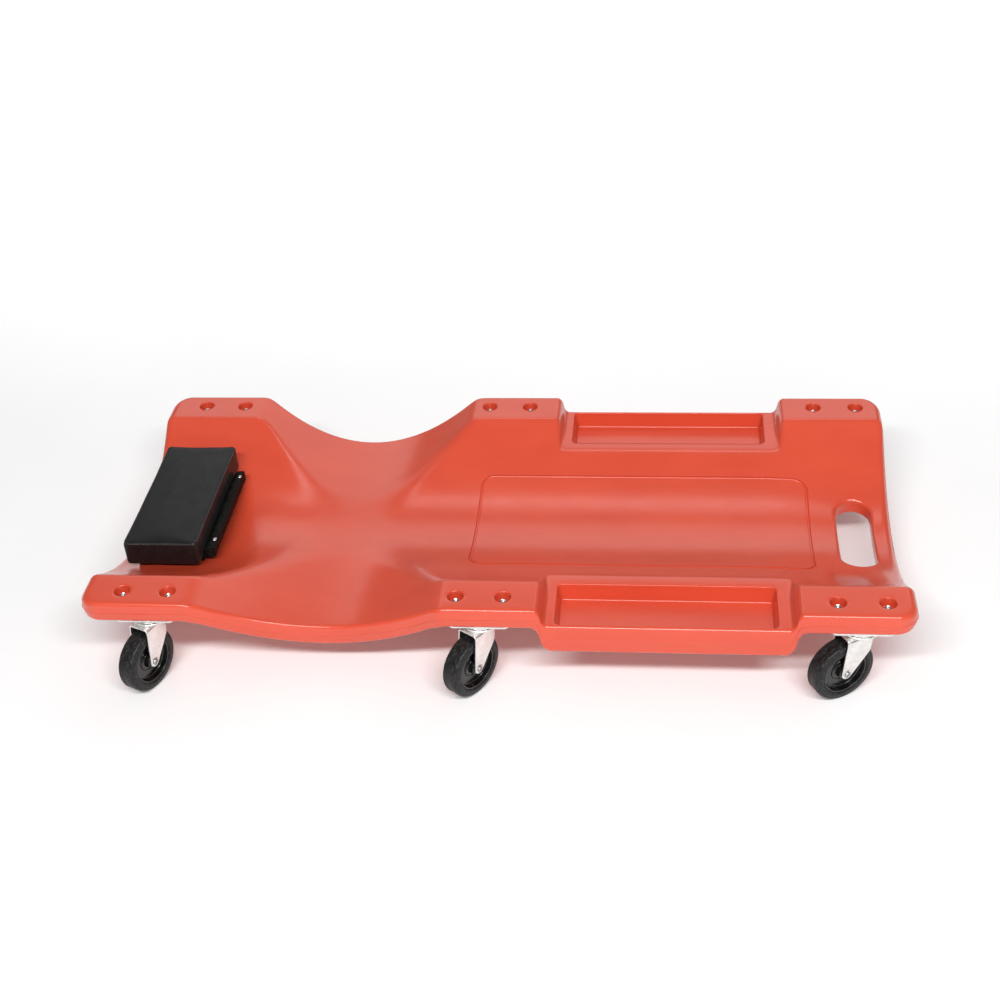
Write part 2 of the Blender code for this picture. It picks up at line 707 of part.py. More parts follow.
def fork_mesh(surface):
    """The swivelling fork: a round crown on the kingpin, a flat bridge and two legs that hold the axle."""
    bore = KINGPIN_RADIUS + RUNNING_GAP
    lower = CROWN_RADIUS - CROWN_CHAMFER
    profile = [(bore, CROWN_BOTTOM), (lower, CROWN_BOTTOM), (CROWN_RADIUS, CROWN_BOTTOM + CROWN_CHAMFER)]
    profile += [(CROWN_RADIUS, CROWN_TOP - CROWN_CHAMFER), (lower, CROWN_TOP), (bore, CROWN_TOP)]
    fork = add_object("fork_form", turned("fork_form", profile, 16))
    outside = LEG_INSIDE + LEG_THICKNESS
    plan = rounded_rectangle(BRIDGE_X, (-outside, outside), BRIDGE_CORNER, 2)
    tools = [add_object("bridge", prism("bridge", plan, BRIDGE_BOTTOM, BRIDGE_TOP))]
    for side in (-1, 1):
        low, high = sorted((side * LEG_INSIDE, side * outside))
        tools.append(add_object("leg", prism("leg", leg_outline(), low, high, axis="Y")))
    for tool in tools:
        boolean(fork, tool, "UNION")
    pin_hole = rod("pin_hole", bore, BRIDGE_BOTTOM - GAP, CROWN_TOP - CROWN_CHAMFER, 16)
    axle_hole = rod("axle_hole", AXLE_RADIUS + GAP, -2 * outside, 2 * outside, 12, "Y")
    cutters = [add_object("pin_hole", pin_hole)]
    cutters.append(add_object("axle_hole", axle_hole, place=(TRAIL, 0, WHEEL_RADIUS)))
    for cutter in cutters:
        boolean(fork, cutter)
    return baked("caster_fork", fork, tools + cutters, surface)


def axle_mesh():
    """A plain axle with a low round head at either end, outside the legs."""
    seat = LEG_INSIDE + LEG_THICKNESS + GAP
    end = seat + AXLE_HEAD_HEIGHT
    half = [(AXLE_RADIUS, seat), (AXLE_HEAD, seat), (AXLE_HEAD * 0.8, end), (0, end)]
    profile = [(r, -h) for r, h in reversed(half)] + half
    return turned("caster_axle", profile, 12, "Y")


def hub_mesh():
    """A hub with a boss on the axle, a thin web and a deep rim that carries the tyre."""
    bore = AXLE_RADIUS + RUNNING_GAP
    rim = TYRE_BORE - HUB_GAP
    half = [(bore, HUB_HALF_WIDTH), (BOSS_RADIUS, HUB_HALF_WIDTH), (BOSS_RADIUS + HUB_DRAFT, WEB_HALF)]
    half += [(RIM_INSIDE - HUB_DRAFT, WEB_HALF), (RIM_INSIDE, RIM_HALF_WIDTH), (rim, RIM_HALF_WIDTH)]
    profile = half + [(r, -h) for r, h in reversed(half)]
    return turned("wheel_hub", profile, 16, "Y")


def tyre_mesh():
    """A solid tyre with rounded shoulders, turned so that a flat of its polygon is down."""
    segments = 24
    corner = WHEEL_RADIUS / math.cos(math.pi / segments)
    half_width = TYRE_WIDTH / 2
    in_radius, in_width = TYRE_SHOULDER
    half = [(TYRE_BORE, half_width), (corner - in_radius, half_width), (corner, half_width - in_width)]
    profile = half + [(r, -h) for r, h in reversed(half)]
    return turned("wheel_tyre", profile, segments, "Y", half_step=True)


def build_casters(steel, bright, hub_plastic, rubber):
    plate = plate_mesh(steel)
    fork = fork_mesh(steel)
    axle = axle_mesh()
    hub = hub_mesh()
    tyre = tyre_mesh()
    for row, x in CASTER_X.items():
        for side, y in CASTER_Y.items():
            name = f"{row}_{side}"
            turn = math.copysign(math.radians(TRAIL_ANGLE[row]), y)
            swivel = add_empty(f"swivel_axis_{name}", (x, y, 0), turn)
            spin = add_empty(f"wheel_axis_{name}", (TRAIL, 0, WHEEL_RADIUS), parent=swivel)
            add_object(f"plate_{name}", plate, steel, (x, y, 0))
            add_object(f"fork_{name}", fork, steel, parent=swivel)
            add_object(f"axle_{name}", axle, bright, parent=spin)
            add_object(f"hub_{name}", hub, hub_plastic, parent=spin)
            add_object(f"tyre_{name}", tyre, rubber, parent=spin)


def main():
    clear_scene()
    red_plastic = material("red_plastic", (0.72, 0.12, 0.07), 0.45)
    black_vinyl = material("black_vinyl", (0.03, 0.03, 0.032), 0.6)
    black_plastic = material("black_plastic", (0.02, 0.02, 0.02), 0.5)
    zinc = material("zinc", (0.66, 0.65, 0.63), 0.35, 1.0)
    bright_steel = material("bright_steel", (0.72, 0.72, 0.72), 0.3, 1.0)
    hub_plastic = material("hub_plastic", (0.012, 0.012, 0.013), 0.22)
    rubber = material("rubber", (0.025, 0.025, 0.025), 0.75)
    build_deck(red_plastic)
    build_cushion(black_vinyl)
    build_base(black_plastic)
    build_headrest_screws(bright_steel)
    build_bolts(bright_steel)
    build_nuts(bright_steel)
    build_casters(zinc, bright_steel, hub_plastic, rubber)


main()
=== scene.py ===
"""Looks of the mechanics creeper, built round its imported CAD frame.

Metres, Z up, floor at z = 0, head end at -X. right is -Y, the side nearest the camera.
"""

import math

import bmesh
import bpy
import numpy as np
from mathutils import Matrix, Vector, noise


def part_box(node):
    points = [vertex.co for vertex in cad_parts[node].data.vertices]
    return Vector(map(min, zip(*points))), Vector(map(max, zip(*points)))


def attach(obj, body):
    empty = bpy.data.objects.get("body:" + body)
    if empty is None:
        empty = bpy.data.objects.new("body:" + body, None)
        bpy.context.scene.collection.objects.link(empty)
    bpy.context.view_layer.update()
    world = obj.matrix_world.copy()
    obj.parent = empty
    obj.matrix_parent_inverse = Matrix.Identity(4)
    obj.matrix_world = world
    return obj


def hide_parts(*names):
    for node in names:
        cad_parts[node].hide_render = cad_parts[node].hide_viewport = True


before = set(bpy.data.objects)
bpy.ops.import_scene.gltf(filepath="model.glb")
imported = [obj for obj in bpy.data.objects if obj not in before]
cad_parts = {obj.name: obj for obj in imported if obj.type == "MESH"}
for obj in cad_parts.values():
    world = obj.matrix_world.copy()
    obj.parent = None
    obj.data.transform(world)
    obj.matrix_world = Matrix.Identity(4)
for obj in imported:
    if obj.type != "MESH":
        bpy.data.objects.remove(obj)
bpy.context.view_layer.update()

SIDES = ("right", "left")
CASTERS = [f"{row}_{side}" for row in ("head", "mid", "foot") for side in SIDES]
SHARP_ANGLE = 38  # degrees

# Deck, as in the CAD
_, DECK_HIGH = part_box("deck")
PAD_TOP = DECK_HIGH.z
HALF_LENGTH = DECK_HIGH.x
HALF_WIDTH = DECK_HIGH.y
CORNER_RADIUS = 0.028
END_RIM = 0.012
SIDE_RIM = 0.005
END_RIM_BELOW = 0.008
SIDE_RIM_BELOW = 0.004
DECK_DEPTH = 0.028
TROUGH_HALF_WIDTH = 0.180
TROUGH_DEPTH = 0.057
TROUGH_END_EXTRA = 0.011
TROUGH_HEAD_END = (-0.300, -0.420)
TROUGH_FOOT_END = (0.340, 0.480)
TROUGH_END_THINNING = 0.008
SADDLE_X = -0.213
SADDLE_HALF_LENGTH = 0.153
SADDLE_DEPTH = 0.058
SADDLE_WAIST = 0.031
WAIST_START = 0.100
SADDLE_BLEND = 0.009
PAD_BLEND = 0.003
BLOCK_X = (0.073, 0.360)
BLOCK_STEP_BELOW = (0.022, 0.004)  # how far the moulded step reaches out of and into the block
BLOCK_STEP_ABOVE = (0.017, 0.001)
STEP_POWER = 0.6  # 0.5 would give the step two quarter circles
BLOCK_TOP = -0.024
BLOCK_BOTTOM = -0.064
TRAY_X = (0.081, 0.348)
TRAY_Y = (0.156, 0.232)
TRAY_DEPTH = 0.022
TRAY_DRAFT = 0.004
TRAY_CORNER = 0.007
SLOT_X = 0.461
SLOT_WIDTH = 0.046
SLOT_LENGTH = 0.140
VENT_X = 0.210
VENT_RADIUS = 0.006

# Deck: the detail of the moulding
COARSE = 0.005  # spacing of the grid where the surface is plain
FINE = 0.0010  # and where it turns quickly
CORE_STEPS = 8
RIM_STEPS = 7
WALL_DRAFT = 0.00060  # the side wall leans in by this much above and below the parting line
PARTING_RIDGE = 0.00040
GROOVE_X = (-0.039, 0.401)  # the rectangle pressed into the floor of the trough
GROOVE_HALF_WIDTH = 0.097  # of the rectangle
GROOVE_CORNER = 0.018
GROOVE_RADIUS = 0.0022  # of its round section
GROOVE_SINK = 0.0008  # its middle is this far below the floor
BORE_RADIUS = 0.010
BORE_DEPTH = 0.013
BORE_LIP = 0.0012
BOLT_HOLE = 0.0034
TRAY_LIP = 0.0013
TRAY_FILLET = 0.0022
SLOT_LIP = 0.0040
LIP_ANGLE = 80  # degrees of each lip's quarter turn that are cut, so it meets the skin cleanly

# Bolts and nuts
BOLT_HALF_SPACING = 0.0289
HEX_FLAT = 0.0050  # from the middle to a flat
HEX_CORNER = 1.16  # from the middle to a corner, in flats, after a slight rounding
BOLT_RADIUS = 0.0030
HEAD_HEIGHT = 0.004
THREAD_PITCH = 0.001

# Casters, about their own swivel axis, the wheel trailing towards +X
TRAIL = 0.024
WHEEL_RADIUS = 0.041
LEG_INSIDE = 0.0123
LEG_THICKNESS = 0.0022
LEG_TOP_FRONT = -0.0100
LEG_KNEE = (-0.0065, 0.068)
LEG_TOP_BACK = 0.0257
LEG_TIP_RADIUS = 0.0070


# Small tools for points and meshes


def smooth_step(value, start, end):
    t = np.clip((value - start) / (end - start), 0, 1)
    return t * t * (3 - 2 * t)


def soft_min(a, b, blend):
    """The smaller of two heights, rounded where they cross."""
    h = np.clip(0.5 + 0.5 * (b - a) / blend, 0, 1)
    return b * (1 - h) + a * h - blend * h * (1 - h)


def quarter_turn(steps=6):
    """Angles from 0 to 90 degrees."""
    return [math.pi / 2 * step / steps for step in range(steps + 1)]


def rounded(corners, closed=True, steps=5):
    """A polyline of (x, y, radius), with an arc in place of each corner whose radius is over 0."""
    points = []
    count = len(corners)
    for i, (x, y, radius) in enumerate(corners):
        here = Vector((x, y))
        if radius == 0 or (not closed and i in (0, count - 1)):
            points.append(here)
            continue
        to_last = (Vector(corners[i - 1][:2]) - here).normalized()
        to_next = (Vector(corners[(i + 1) % count][:2]) - here).normalized()
        half = to_last.angle(to_next) / 2
        centre = here + (to_last + to_next).normalized() * radius / math.sin(half)
        reach = radius / math.tan(half)
        start = here + to_last * reach - centre
        end = here + to_next * reach - centre
        turn = math.atan2(start.x * end.y - start.y * end.x, start.dot(end))
        for step in range(steps + 1):
            arm = start.copy()
            arm.rotate(Matrix.Rotation(turn * step / steps, 2))
            points.append(centre + arm)
    return points


def rectangle(x_range, y_range, radius, grow=0.0, steps=8):
    """A rounded rectangle, anticlockwise, grown outwards all round."""
    x0, x1 = x_range[0] - grow, x_range[1] + grow
    y0, y1 = y_range[0] - grow, y_range[1] + grow
    r = max(radius + grow, 0.0004)
    return rounded([(x0, y0, r), (x1, y0, r), (x1, y1, r), (x0, y1, r)], steps=steps)


def subdivided(outline, longest):
    """The closed outline with points added, so that no side is longer than this."""
    points = []
    for first, second in zip(outline, outline[1:] + outline[:1]):
        steps = max(1, math.ceil((second - first).length / longest))
        points += [first.lerp(second, step / steps) for step in range(steps)]
    return points


def loft(rings, closed=False):
    """Rings of equal length joined in turn, and capped unless the last joins the first."""
    count = len(rings[0])
    vertices = [tuple(p) for ring in rings for p in ring]
    faces = []
    pairs = [(k, k + 1) for k in range(len(rings) - 1)]
    if closed:
        pairs.append((len(rings) - 1, 0))
    else:
        faces.append(tuple(reversed(range(count))))
        faces.append(tuple((len(rings) - 1) * count + i for i in range(count)))
    for low, high in pairs:
        for i in range(count):
            j = (i + 1) % count
            faces.append((low * count + i, low * count + j, high * count + j, high * count + i))
    return vertices, faces


def turned(profile, segments, axis="Z", closed=False):
    """(radius, height) points turned about an axis. An open profile starts and ends on the axis."""
    rings = []
    for radius, height in profile:
        ring = []
        for i in range(segments):
            angle = math.tau * i / segments
            across, up = radius * math.cos(angle), radius * math.sin(angle)
            ring.append((across, up, height) if axis == "Z" else (across, height, -up))
        rings.append(ring)
    return loft(rings, closed)


def moved(shape, offset):
    vertices, faces = shape
    return [tuple(Vector(v) + Vector(offset)) for v in vertices], faces


def joined(shapes):
    vertices, faces = [], []
    for more, their_faces in shapes:
        start = len(vertices)
        vertices += more
        faces += [tuple(start + i for i in face) for face in their_faces]
    return vertices, faces


def layered(x_range, y_range, radius, layers):
    """A stack of rounded rectangles, each grown and raised as its (growth, height) says."""
    return loft([[(*p, z) for p in rectangle(x_range, y_range, radius, grow)] for grow, z in layers])


def smoothed(mesh, angle=SHARP_ANGLE):
    """The mesh, shaded smooth with edges over the angle sharp."""
    mesh.shade_smooth()
    mesh.set_sharp_from_angle(angle=math.radians(angle))
    return mesh


def mesh_of(name, shape, angle=SHARP_ANGLE):
    """A mesh with doubled points merged, faces looking out and edges over the angle sharp."""
    bm = bmesh.new()
    made = [bm.verts.new(v) for v in shape[0]]
    for face in shape[1]:
        bm.faces.new([made[i] for i in face])
    bmesh.ops.remove_doubles(bm, verts=bm.verts, dist=1e-6)
    bmesh.ops.recalc_face_normals(bm, faces=bm.faces)
    mesh = bpy.data.meshes.new(name)
    bm.to_mesh(mesh)
    bm.free()
    return smoothed(mesh, angle)


def configure(thing, **values):
    """Set properties of a modifier, a light or the like."""
    for name, value in values.items():
        setattr(thing, name, value)


def add(name, data, material=None, matrix=None):
    """An object in the scene. A mesh that several objects share takes its material once."""
    obj = bpy.data.objects.new(name, data)
    bpy.context.scene.collection.objects.link(obj)
    if matrix is not None:
        obj.matrix_world = matrix
    if material is not None and not data.materials:
        data.materials.append(material)
    return obj


def settle(obj):
    """Apply the object's modifiers to its own mesh."""
    bpy.context.view_layer.update()
    graph = bpy.context.evaluated_depsgraph_get()
    mesh = bpy.data.meshes.new_from_object(obj.evaluated_get(graph))
    obj.modifiers.clear()
    obj.data = mesh
    return mesh


def cut(obj, name, shape):
    """Cut the shape out of the object."""
    tool = add(name, mesh_of(name, shape))
    modifier = obj.modifiers.new("cut", "BOOLEAN")
    configure(modifier, operation="DIFFERENCE", solver="EXACT", object=tool)
    mesh = settle(obj)
    bpy.data.objects.remove(tool, do_unlink=True)
    return smoothed(mesh)


def middle_of(node):
    low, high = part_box(node)
    return (low + high) / 2


def finished(obj, body, slot, *nodes):
    """Hand the piece to the frame: attach it to what it rides on and hide the CAD nodes it stands for. The
    slot, its finish, is not used.
    """
    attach(obj, body)
    if nodes:
        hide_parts(*nodes)
    return obj


# Materials. Each is a Principled BSDF with its own grain, from noise in the piece's own coordinates.


def new_material(name):
    """A material, its node tree, its shader and the coordinates that its noises are read in."""
    made = bpy.data.materials.new(name)
    made.use_nodes = True
    tree = made.node_tree
    where = new_node(tree, "TexCoord").outputs["Object"]
    return made, tree, tree.nodes["Principled BSDF"], where


def constants(node, **values):
    """Set sockets of the node, each named with _ for a space."""
    for name, value in values.items():
        node.inputs[name.replace("_", " ")].default_value = value


def new_node(tree, kind, **values):
    made = tree.nodes.new(f"ShaderNode{kind}")
    constants(made, **values)
    return made


def noise_of(tree, where, scale, detail, roughness, stretch=None):
    if stretch is not None:
        mapping = new_node(tree, "Mapping", Scale=stretch)
        tree.links.new(where, mapping.inputs["Vector"])
        where = mapping.outputs["Vector"]
    made = new_node(tree, "TexNoise", Scale=scale, Detail=detail, Roughness=roughness)
    tree.links.new(where, made.inputs["Vector"])
    return made.outputs["Fac"]


def ramp(tree, source, low, high, low_at=0.35, high_at=0.65):
    """Map a noise to the range from low to high: two numbers, or two colours."""
    if isinstance(low, tuple):
        made = new_node(tree, "ValToRGB")
        first, last = made.color_ramp.elements
        first.position, last.position = low_at, high_at
        first.color, last.color = (*low, 1), (*high, 1)
        tree.links.new(source, made.inputs["Fac"])
        return made.outputs["Color"]
    made = new_node(tree, "MapRange", From_Min=low_at, From_Max=high_at, To_Min=low, To_Max=high)
    tree.links.new(source, made.inputs["Value"])
    return made.outputs["Result"]


def grey(low, high):
    """Two greys, for a ramp."""
    return (low, low, low), (high, high, high)


def paint(tree, shader, source, colours, roughness, span=(0.35, 0.65)):
    """Let one noise vary the colour, and the roughness, between two values each."""
    tree.links.new(ramp(tree, source, *colours, *span), shader.inputs["Base Color"])
    tree.links.new(ramp(tree, source, *roughness), shader.inputs["Roughness"])


def bump(tree, shader, layers):
    """Stack bumps, each (height, distance in metres, strength)."""
    normal = None
    for height, distance, strength in layers:
        made = new_node(tree, "Bump", Distance=distance, Strength=strength)
        tree.links.new(height, made.inputs["Height"])
        if normal is not None:
            tree.links.new(normal, made.inputs["Normal"])
        normal = made.outputs["Normal"]
    tree.links.new(normal, shader.inputs["Normal"])


def patchy(name, patch, colours, roughness, bumps, span=(0.35, 0.65), **values):
    """A material whose colour and roughness follow one noise, the patch.

    Each bump is (noise, distance, strength), where the noise None is the patch again.
    """
    made, tree, shader, where = new_material(name)
    source = noise_of(tree, where, *patch)
    paint(tree, shader, source, colours, roughness, span)
    constants(shader, **values)
    layers = [(noise_of(tree, where, *grain) if grain else source, *rest) for grain, *rest in bumps]
    bump(tree, shader, layers)
    return made


def moulded_red():
    """Blow-moulded polyethylene: a fine spark grain, faint flow bands and a soft gloss."""
    made, tree, shader, where = new_material("moulded_red")
    flow = noise_of(tree, where, 9, 5, 0.55, (1.0, 2.2, 1.0))
    tint = ramp(tree, flow, (0.650, 0.069, 0.031), (0.690, 0.078, 0.036))
    tree.links.new(tint, shader.inputs["Base Color"])
    haze = noise_of(tree, where, 55, 6, 0.62)
    tree.links.new(ramp(tree, haze, 0.18, 0.24), shader.inputs["Roughness"])
    constants(shader, Specular_IOR_Level=0.65)
    grain = noise_of(tree, where, 620, 2, 0.5)
    ripple = noise_of(tree, where, 38, 3, 0.5)
    bump(tree, shader, [(ripple, 0.0012, 0.04), (grain, 0.00010, 0.05)])
    return made


def vinyl_black():
    """Upholstery vinyl: small pebbled leather grain with a soft sheen."""
    made, tree, shader, where = new_material("vinyl_black")
    cells = new_node(tree, "TexVoronoi")
    cells.feature = "SMOOTH_F1"
    constants(cells, Scale=720, Smoothness=0.6)
    tree.links.new(where, cells.inputs["Vector"])
    wear = noise_of(tree, where, 60, 5, 0.6)
    paint(tree, shader, wear, ((0.0052, 0.0048, 0.0052), (0.0082, 0.0078, 0.0082)), (0.36, 0.48))
    constants(shader, Specular_IOR_Level=0.30, Sheen_Weight=0.02, Sheen_Roughness=0.5)
    folds = noise_of(tree, where, 34, 3, 0.5)
    bump(tree, shader, [(folds, 0.0020, 0.10), (cells.outputs["Distance"], 0.00018, 0.4)])
    return made


def piping_painted_highlight():
    """The folded vinyl of the seams, polished by handling. Its greys are lighter than the cover's: a
    painted highlight along the seams.
    """
    bumps = [((900, 3, 0.6), 0.00010, 0.3)]
    # lighter greys than the cover: a painted highlight on the piping
    return patchy("piping_painted_highlight", (150, 4, 0.6), grey(0.010, 0.018), (0.22, 0.34), bumps)


def plastic_black():
    """Rough injection-moulded black plastic."""
    colours = ((0.0015, 0.0015, 0.0015), (0.0110, 0.0115, 0.0085))
    bumps = [(None, 0.0012, 0.6), ((900, 4, 0.7), 0.00025, 0.8)]
    return patchy("plastic_black", (140, 5, 0.65), colours, (0.5, 0.72), bumps, Specular_IOR_Level=0.12)


def metal(name, colours, rough, grain_scale, stretch=None):
    """Plated steel: patchy brightness, uneven roughness and a fine surface grain."""
    bumps = [(None, 0.0005, 0.08), ((grain_scale, 4, 0.6, stretch), 0.00008, 0.35)]
    return patchy(name, (90, 5, 0.6), colours, rough, bumps, Metallic=1.0)


def hub_black():
    """Polished black nylon with fine turning marks."""
    colours = ((0.003, 0.003, 0.0035), (0.007, 0.007, 0.0075))
    bumps = [((300, 3, 0.5), 0.0002, 0.12)]
    coat = {"Coat_Weight": 0.25, "Coat_Roughness": 0.12}
    return patchy("hub_black", (120, 5, 0.6), colours, (0.14, 0.27), bumps, **coat)


def tyre_rubber():
    """Matt moulded rubber with lighter grey specks: partly dust, partly painted glints on the tread."""
    # the lighter grey is partly dust and partly a painted glint
    colours = ((0.004, 0.004, 0.004), (0.070, 0.070, 0.075))
    rough, span = (0.34, 0.60), (0.52, 0.72)
    bumps = [(None, 0.0006, 0.30), ((1100, 4, 0.65), 0.00015, 0.5)]
    return patchy("tyre_rubber", (260, 6, 0.72), colours, rough, bumps, span, Specular_IOR_Level=0.35)


# Deck


def at_ends(x):
    """1 at the two ends of the trough, falling to 0 along its middle."""
    return smooth_step(-x, -TROUGH_HEAD_END[0], -TROUGH_HEAD_END[1]) + smooth_step(x, *TROUGH_FOOT_END)


def trough(x, y):
    depth = TROUGH_DEPTH + TROUGH_END_EXTRA * at_ends(x)
    return -depth * (1 - (y / TROUGH_HALF_WIDTH) ** 2)


def saddle_dip(x):
    return 1 - ((x - SADDLE_X) / SADDLE_HALF_LENGTH) ** 2


def pads_and_hollows(x, y):
    """The pads with the lengthwise trough and the crosswise saddle between them, relative to PAD_TOP."""
    return soft_min(soft_min(trough(x, y), 0.0, PAD_BLEND), -SADDLE_DEPTH * saddle_dip(x), SADDLE_BLEND)


def round_step(value, start, end):
    """0 to 1 with a round corner at either end and a steep middle."""
    t = np.clip((value - start) / (end - start), 0, 1)
    to_end = 2 * np.minimum(t, 1 - t)
    rise = 0.5 * (1 - (1 - to_end**2) ** STEP_POWER)
    return np.where(t < 0.5, rise, 1 - rise)


def block(x, step):
    """1 along the tray block, falling to 0 over a round step at either end."""
    low, high = BLOCK_X
    out, into = step
    return round_step(x, low - out, low + into) * (1 - round_step(x, high - into, high + out))


def lowered(surface, level, share):
    """The surface brought down to a level where it is above it, by this share of the way."""
    return surface + share * (soft_min(surface, level, PAD_BLEND) - surface)


def top_height(x, y):
    return PAD_TOP + lowered(pads_and_hollows(x, y), BLOCK_TOP, block(x, BLOCK_STEP_ABOVE))


def bottom_height(x, y):
    thinning = TROUGH_END_THINNING * at_ends(x) * np.clip(1 - (y / TROUGH_HALF_WIDTH) ** 2, 0, 1)
    panel = pads_and_hollows(x, y) - DECK_DEPTH + thinning
    return PAD_TOP + lowered(panel, BLOCK_BOTTOM, block(x, BLOCK_STEP_BELOW))


def waisted(x, y):
    """y pulled in towards the middle where the sides have their waist."""
    reach = np.clip((np.abs(y) - WAIST_START) / (HALF_WIDTH - WAIST_START), 0, 1)
    return y - np.sign(y) * SADDLE_WAIST * np.clip(saddle_dip(x), 0, 1) * reach


def deck_lines(half, spans):
    """Grid lines from -half to half, close together inside the spans and kept off the ends."""
    fine = [value for low, high in spans for value in np.arange(low, high, FINE)]
    coarse = np.linspace(-half, half, int(2 * half / COARSE) + 1)[1:-1]
    coarse = [v for v in coarse if min(abs(v - f) for f in fine) > 0.6 * COARSE]
    kept = []
    for value in sorted(fine + coarse):
        if not kept or value - kept[-1] > 0.8 * FINE:
            kept.append(value)
    return [v for v in kept if abs(v) < half - FINE]


def corner_shares():
    """Lines across a corner's square, inner to outer, as (share of the flat part, rim angle)."""
    lines = [(step / CORE_STEPS, 0.0) for step in range(CORE_STEPS + 1)]
    return lines + [(1.0, math.pi / 2 * (step + 1) / RIM_STEPS) for step in range(RIM_STEPS)]


def deck_plan(xs, ys, end_rim, side_rim):
    """The plan point of each grid crossing, and how far the rounded rim has dropped there."""
    lines = corner_shares()
    corner = CORNER_RADIUS - WALL_DRAFT - PARTING_RIDGE
    end = [(corner - end_rim) * share + end_rim * math.sin(angle) for share, angle in lines]
    side = [(corner - side_rim) * share + side_rim * math.sin(angle) for share, angle in lines]
    count = range(len(lines))

    def signed(half, inner):
        low = [(-half, index, -1) for index in reversed(count)]
        return low + [(place, 0, 0) for place in inner] + [(half, index, 1) for index in count]

    columns = signed(HALF_LENGTH - CORNER_RADIUS, xs)
    rows = signed(HALF_WIDTH - CORNER_RADIUS, ys)
    plan = np.zeros((len(columns), len(rows), 2))
    drop = np.zeros((len(columns), len(rows)))
    for a, (x, i, sign_x) in enumerate(columns):
        for b, (y, j, sign_y) in enumerate(rows):
            outermost = max(i, j)
            if sign_x and sign_y and outermost:
                turn = math.pi / 4 * (j / i if i >= j else 2 - i / j)
            else:
                turn = 0.0 if sign_x and i else math.pi / 2
            across = math.cos(turn) ** 2
            reach = end[outermost] * across + side[outermost] * (1 - across)
            rim = end_rim * across + side_rim * (1 - across)
            plan[a, b] = (x + sign_x * reach * math.cos(turn), y + sign_y * reach * math.sin(turn))
            drop[a, b] = rim * (1 - math.cos(lines[outermost][1]))
    plan[:, :, 1] = waisted(plan[:, :, 0], plan[:, :, 1])
    return plan, drop


def faces_of(*corners):
    """Four-sided faces, from arrays of their first, second, third and fourth corners."""
    return [tuple(face) for face in np.stack(corners, axis=-1).reshape(-1, 4).tolist()]


def edge_of(grid):
    """What lies round the edge of a grid, in order."""
    return np.concatenate([grid[:-1, 0], grid[-1, :-1], grid[:0:-1, -1], grid[0, :0:-1]])


def shell(upper, lower, rings=()):
    """Two grids of points, joined round their edges by way of the rings."""
    size = upper.shape[0] * upper.shape[1]
    index = np.arange(size).reshape(upper.shape[:2])
    faces = []
    for sheet in (index, index + size):
        faces += faces_of(sheet[:-1, :-1], sheet[1:, :-1], sheet[1:, 1:], sheet[:-1, 1:])
    edge = edge_of(index)
    loops = [edge] + [2 * size + k * len(edge) + np.arange(len(edge)) for k in range(len(rings))]
    loops.append(size + edge)
    for first, second in zip(loops, loops[1:]):
        faces += faces_of(first, np.roll(first, -1), np.roll(second, -1), second)
    return np.concatenate([upper.reshape(-1, 3), lower.reshape(-1, 3), *rings]).tolist(), faces


def wall_rings(upper, lower):
    """Rings down the side wall: leaning out to the parting line, which stands proud as a thin ridge."""
    tangent = np.roll(upper, -1, axis=0) - np.roll(upper, 1, axis=0)
    outward = np.stack([tangent[:, 1], -tangent[:, 0], np.zeros(len(upper))], axis=1)
    outward /= np.linalg.norm(outward, axis=1)[:, None]
    rings = []
    for share in (0.1, 0.2, 0.32, 0.42, 0.465, 0.485, 0.5, 0.515, 0.535, 0.58, 0.68, 0.8, 0.9):
        proud = WALL_DRAFT * (1 - abs(2 * share - 1))
        proud += PARTING_RIDGE * max(0.0, 1 - abs(share - 0.5) / 0.03)
        rings.append(upper * (1 - share) + lower * share + outward * proud)
    return rings


def deck_form():
    """The deck's outer skin, before its openings are cut."""
    crease = 0.007
    out, into = BLOCK_STEP_BELOW
    spans = [(BLOCK_X[0] - out, BLOCK_X[0] + into), (BLOCK_X[1] - into, BLOCK_X[1] + out)]
    ends = [SADDLE_X - SADDLE_HALF_LENGTH, SADDLE_X + SADDLE_HALF_LENGTH]
    spans += [(x - crease, x + crease) for x in ends]
    xs = deck_lines(HALF_LENGTH - CORNER_RADIUS, spans)
    edges = [(y - crease, y + crease) for y in (-TROUGH_HALF_WIDTH, TROUGH_HALF_WIDTH)]
    ys = deck_lines(HALF_WIDTH - CORNER_RADIUS, edges)

    plan, drop = deck_plan(xs, ys, END_RIM, SIDE_RIM)
    below, rise = deck_plan(xs, ys, END_RIM_BELOW, SIDE_RIM_BELOW)
    upper = np.dstack([plan, top_height(plan[:, :, 0], plan[:, :, 1]) - drop])
    lower = np.dstack([below, bottom_height(below[:, :, 0], below[:, :, 1]) + rise])
    return shell(upper, lower, wall_rings(edge_of(upper), edge_of(lower)))


def lip_steps(radius):
    """(outwards, up) from a wall's top along its rounded lip, ending just above the skin."""
    angles = [math.radians(LIP_ANGLE * step / 6) for step in range(7)]
    steps = [(radius * (1 - math.cos(a)), radius * (math.sin(a) - 1)) for a in angles]
    return steps + [(radius * 1.3, radius * 0.25)]


def bolt_places():
    """(name, x, y) of every bolt: two at each caster, a towards the head and b towards the foot."""
    for name in CASTERS:
        x, y, _ = middle_of(f"plate_{name}")
        for letter, offset in (("a", -BOLT_HALF_SPACING), ("b", BOLT_HALF_SPACING)):
            yield f"{name}_{letter}", x + offset, y


def bore_cutter():
    """A counterbore with a rounded lip and a floor fillet, and the bolt's hole below it."""
    floor = PAD_TOP - BORE_DEPTH
    below = floor - DECK_DEPTH
    profile = [(0, below), (BOLT_HOLE, below), (BOLT_HOLE, floor)]
    corner = rounded([(BOLT_HOLE, floor, 0), (BORE_RADIUS, floor, 0.001), (BORE_RADIUS, PAD_TOP, 0)], False)
    profile += corner[1:-1]
    profile += [(BORE_RADIUS + out, PAD_TOP + up) for out, up in lip_steps(BORE_LIP)]
    profile.append((0, profile[-1][1]))
    return turned(profile, 64)


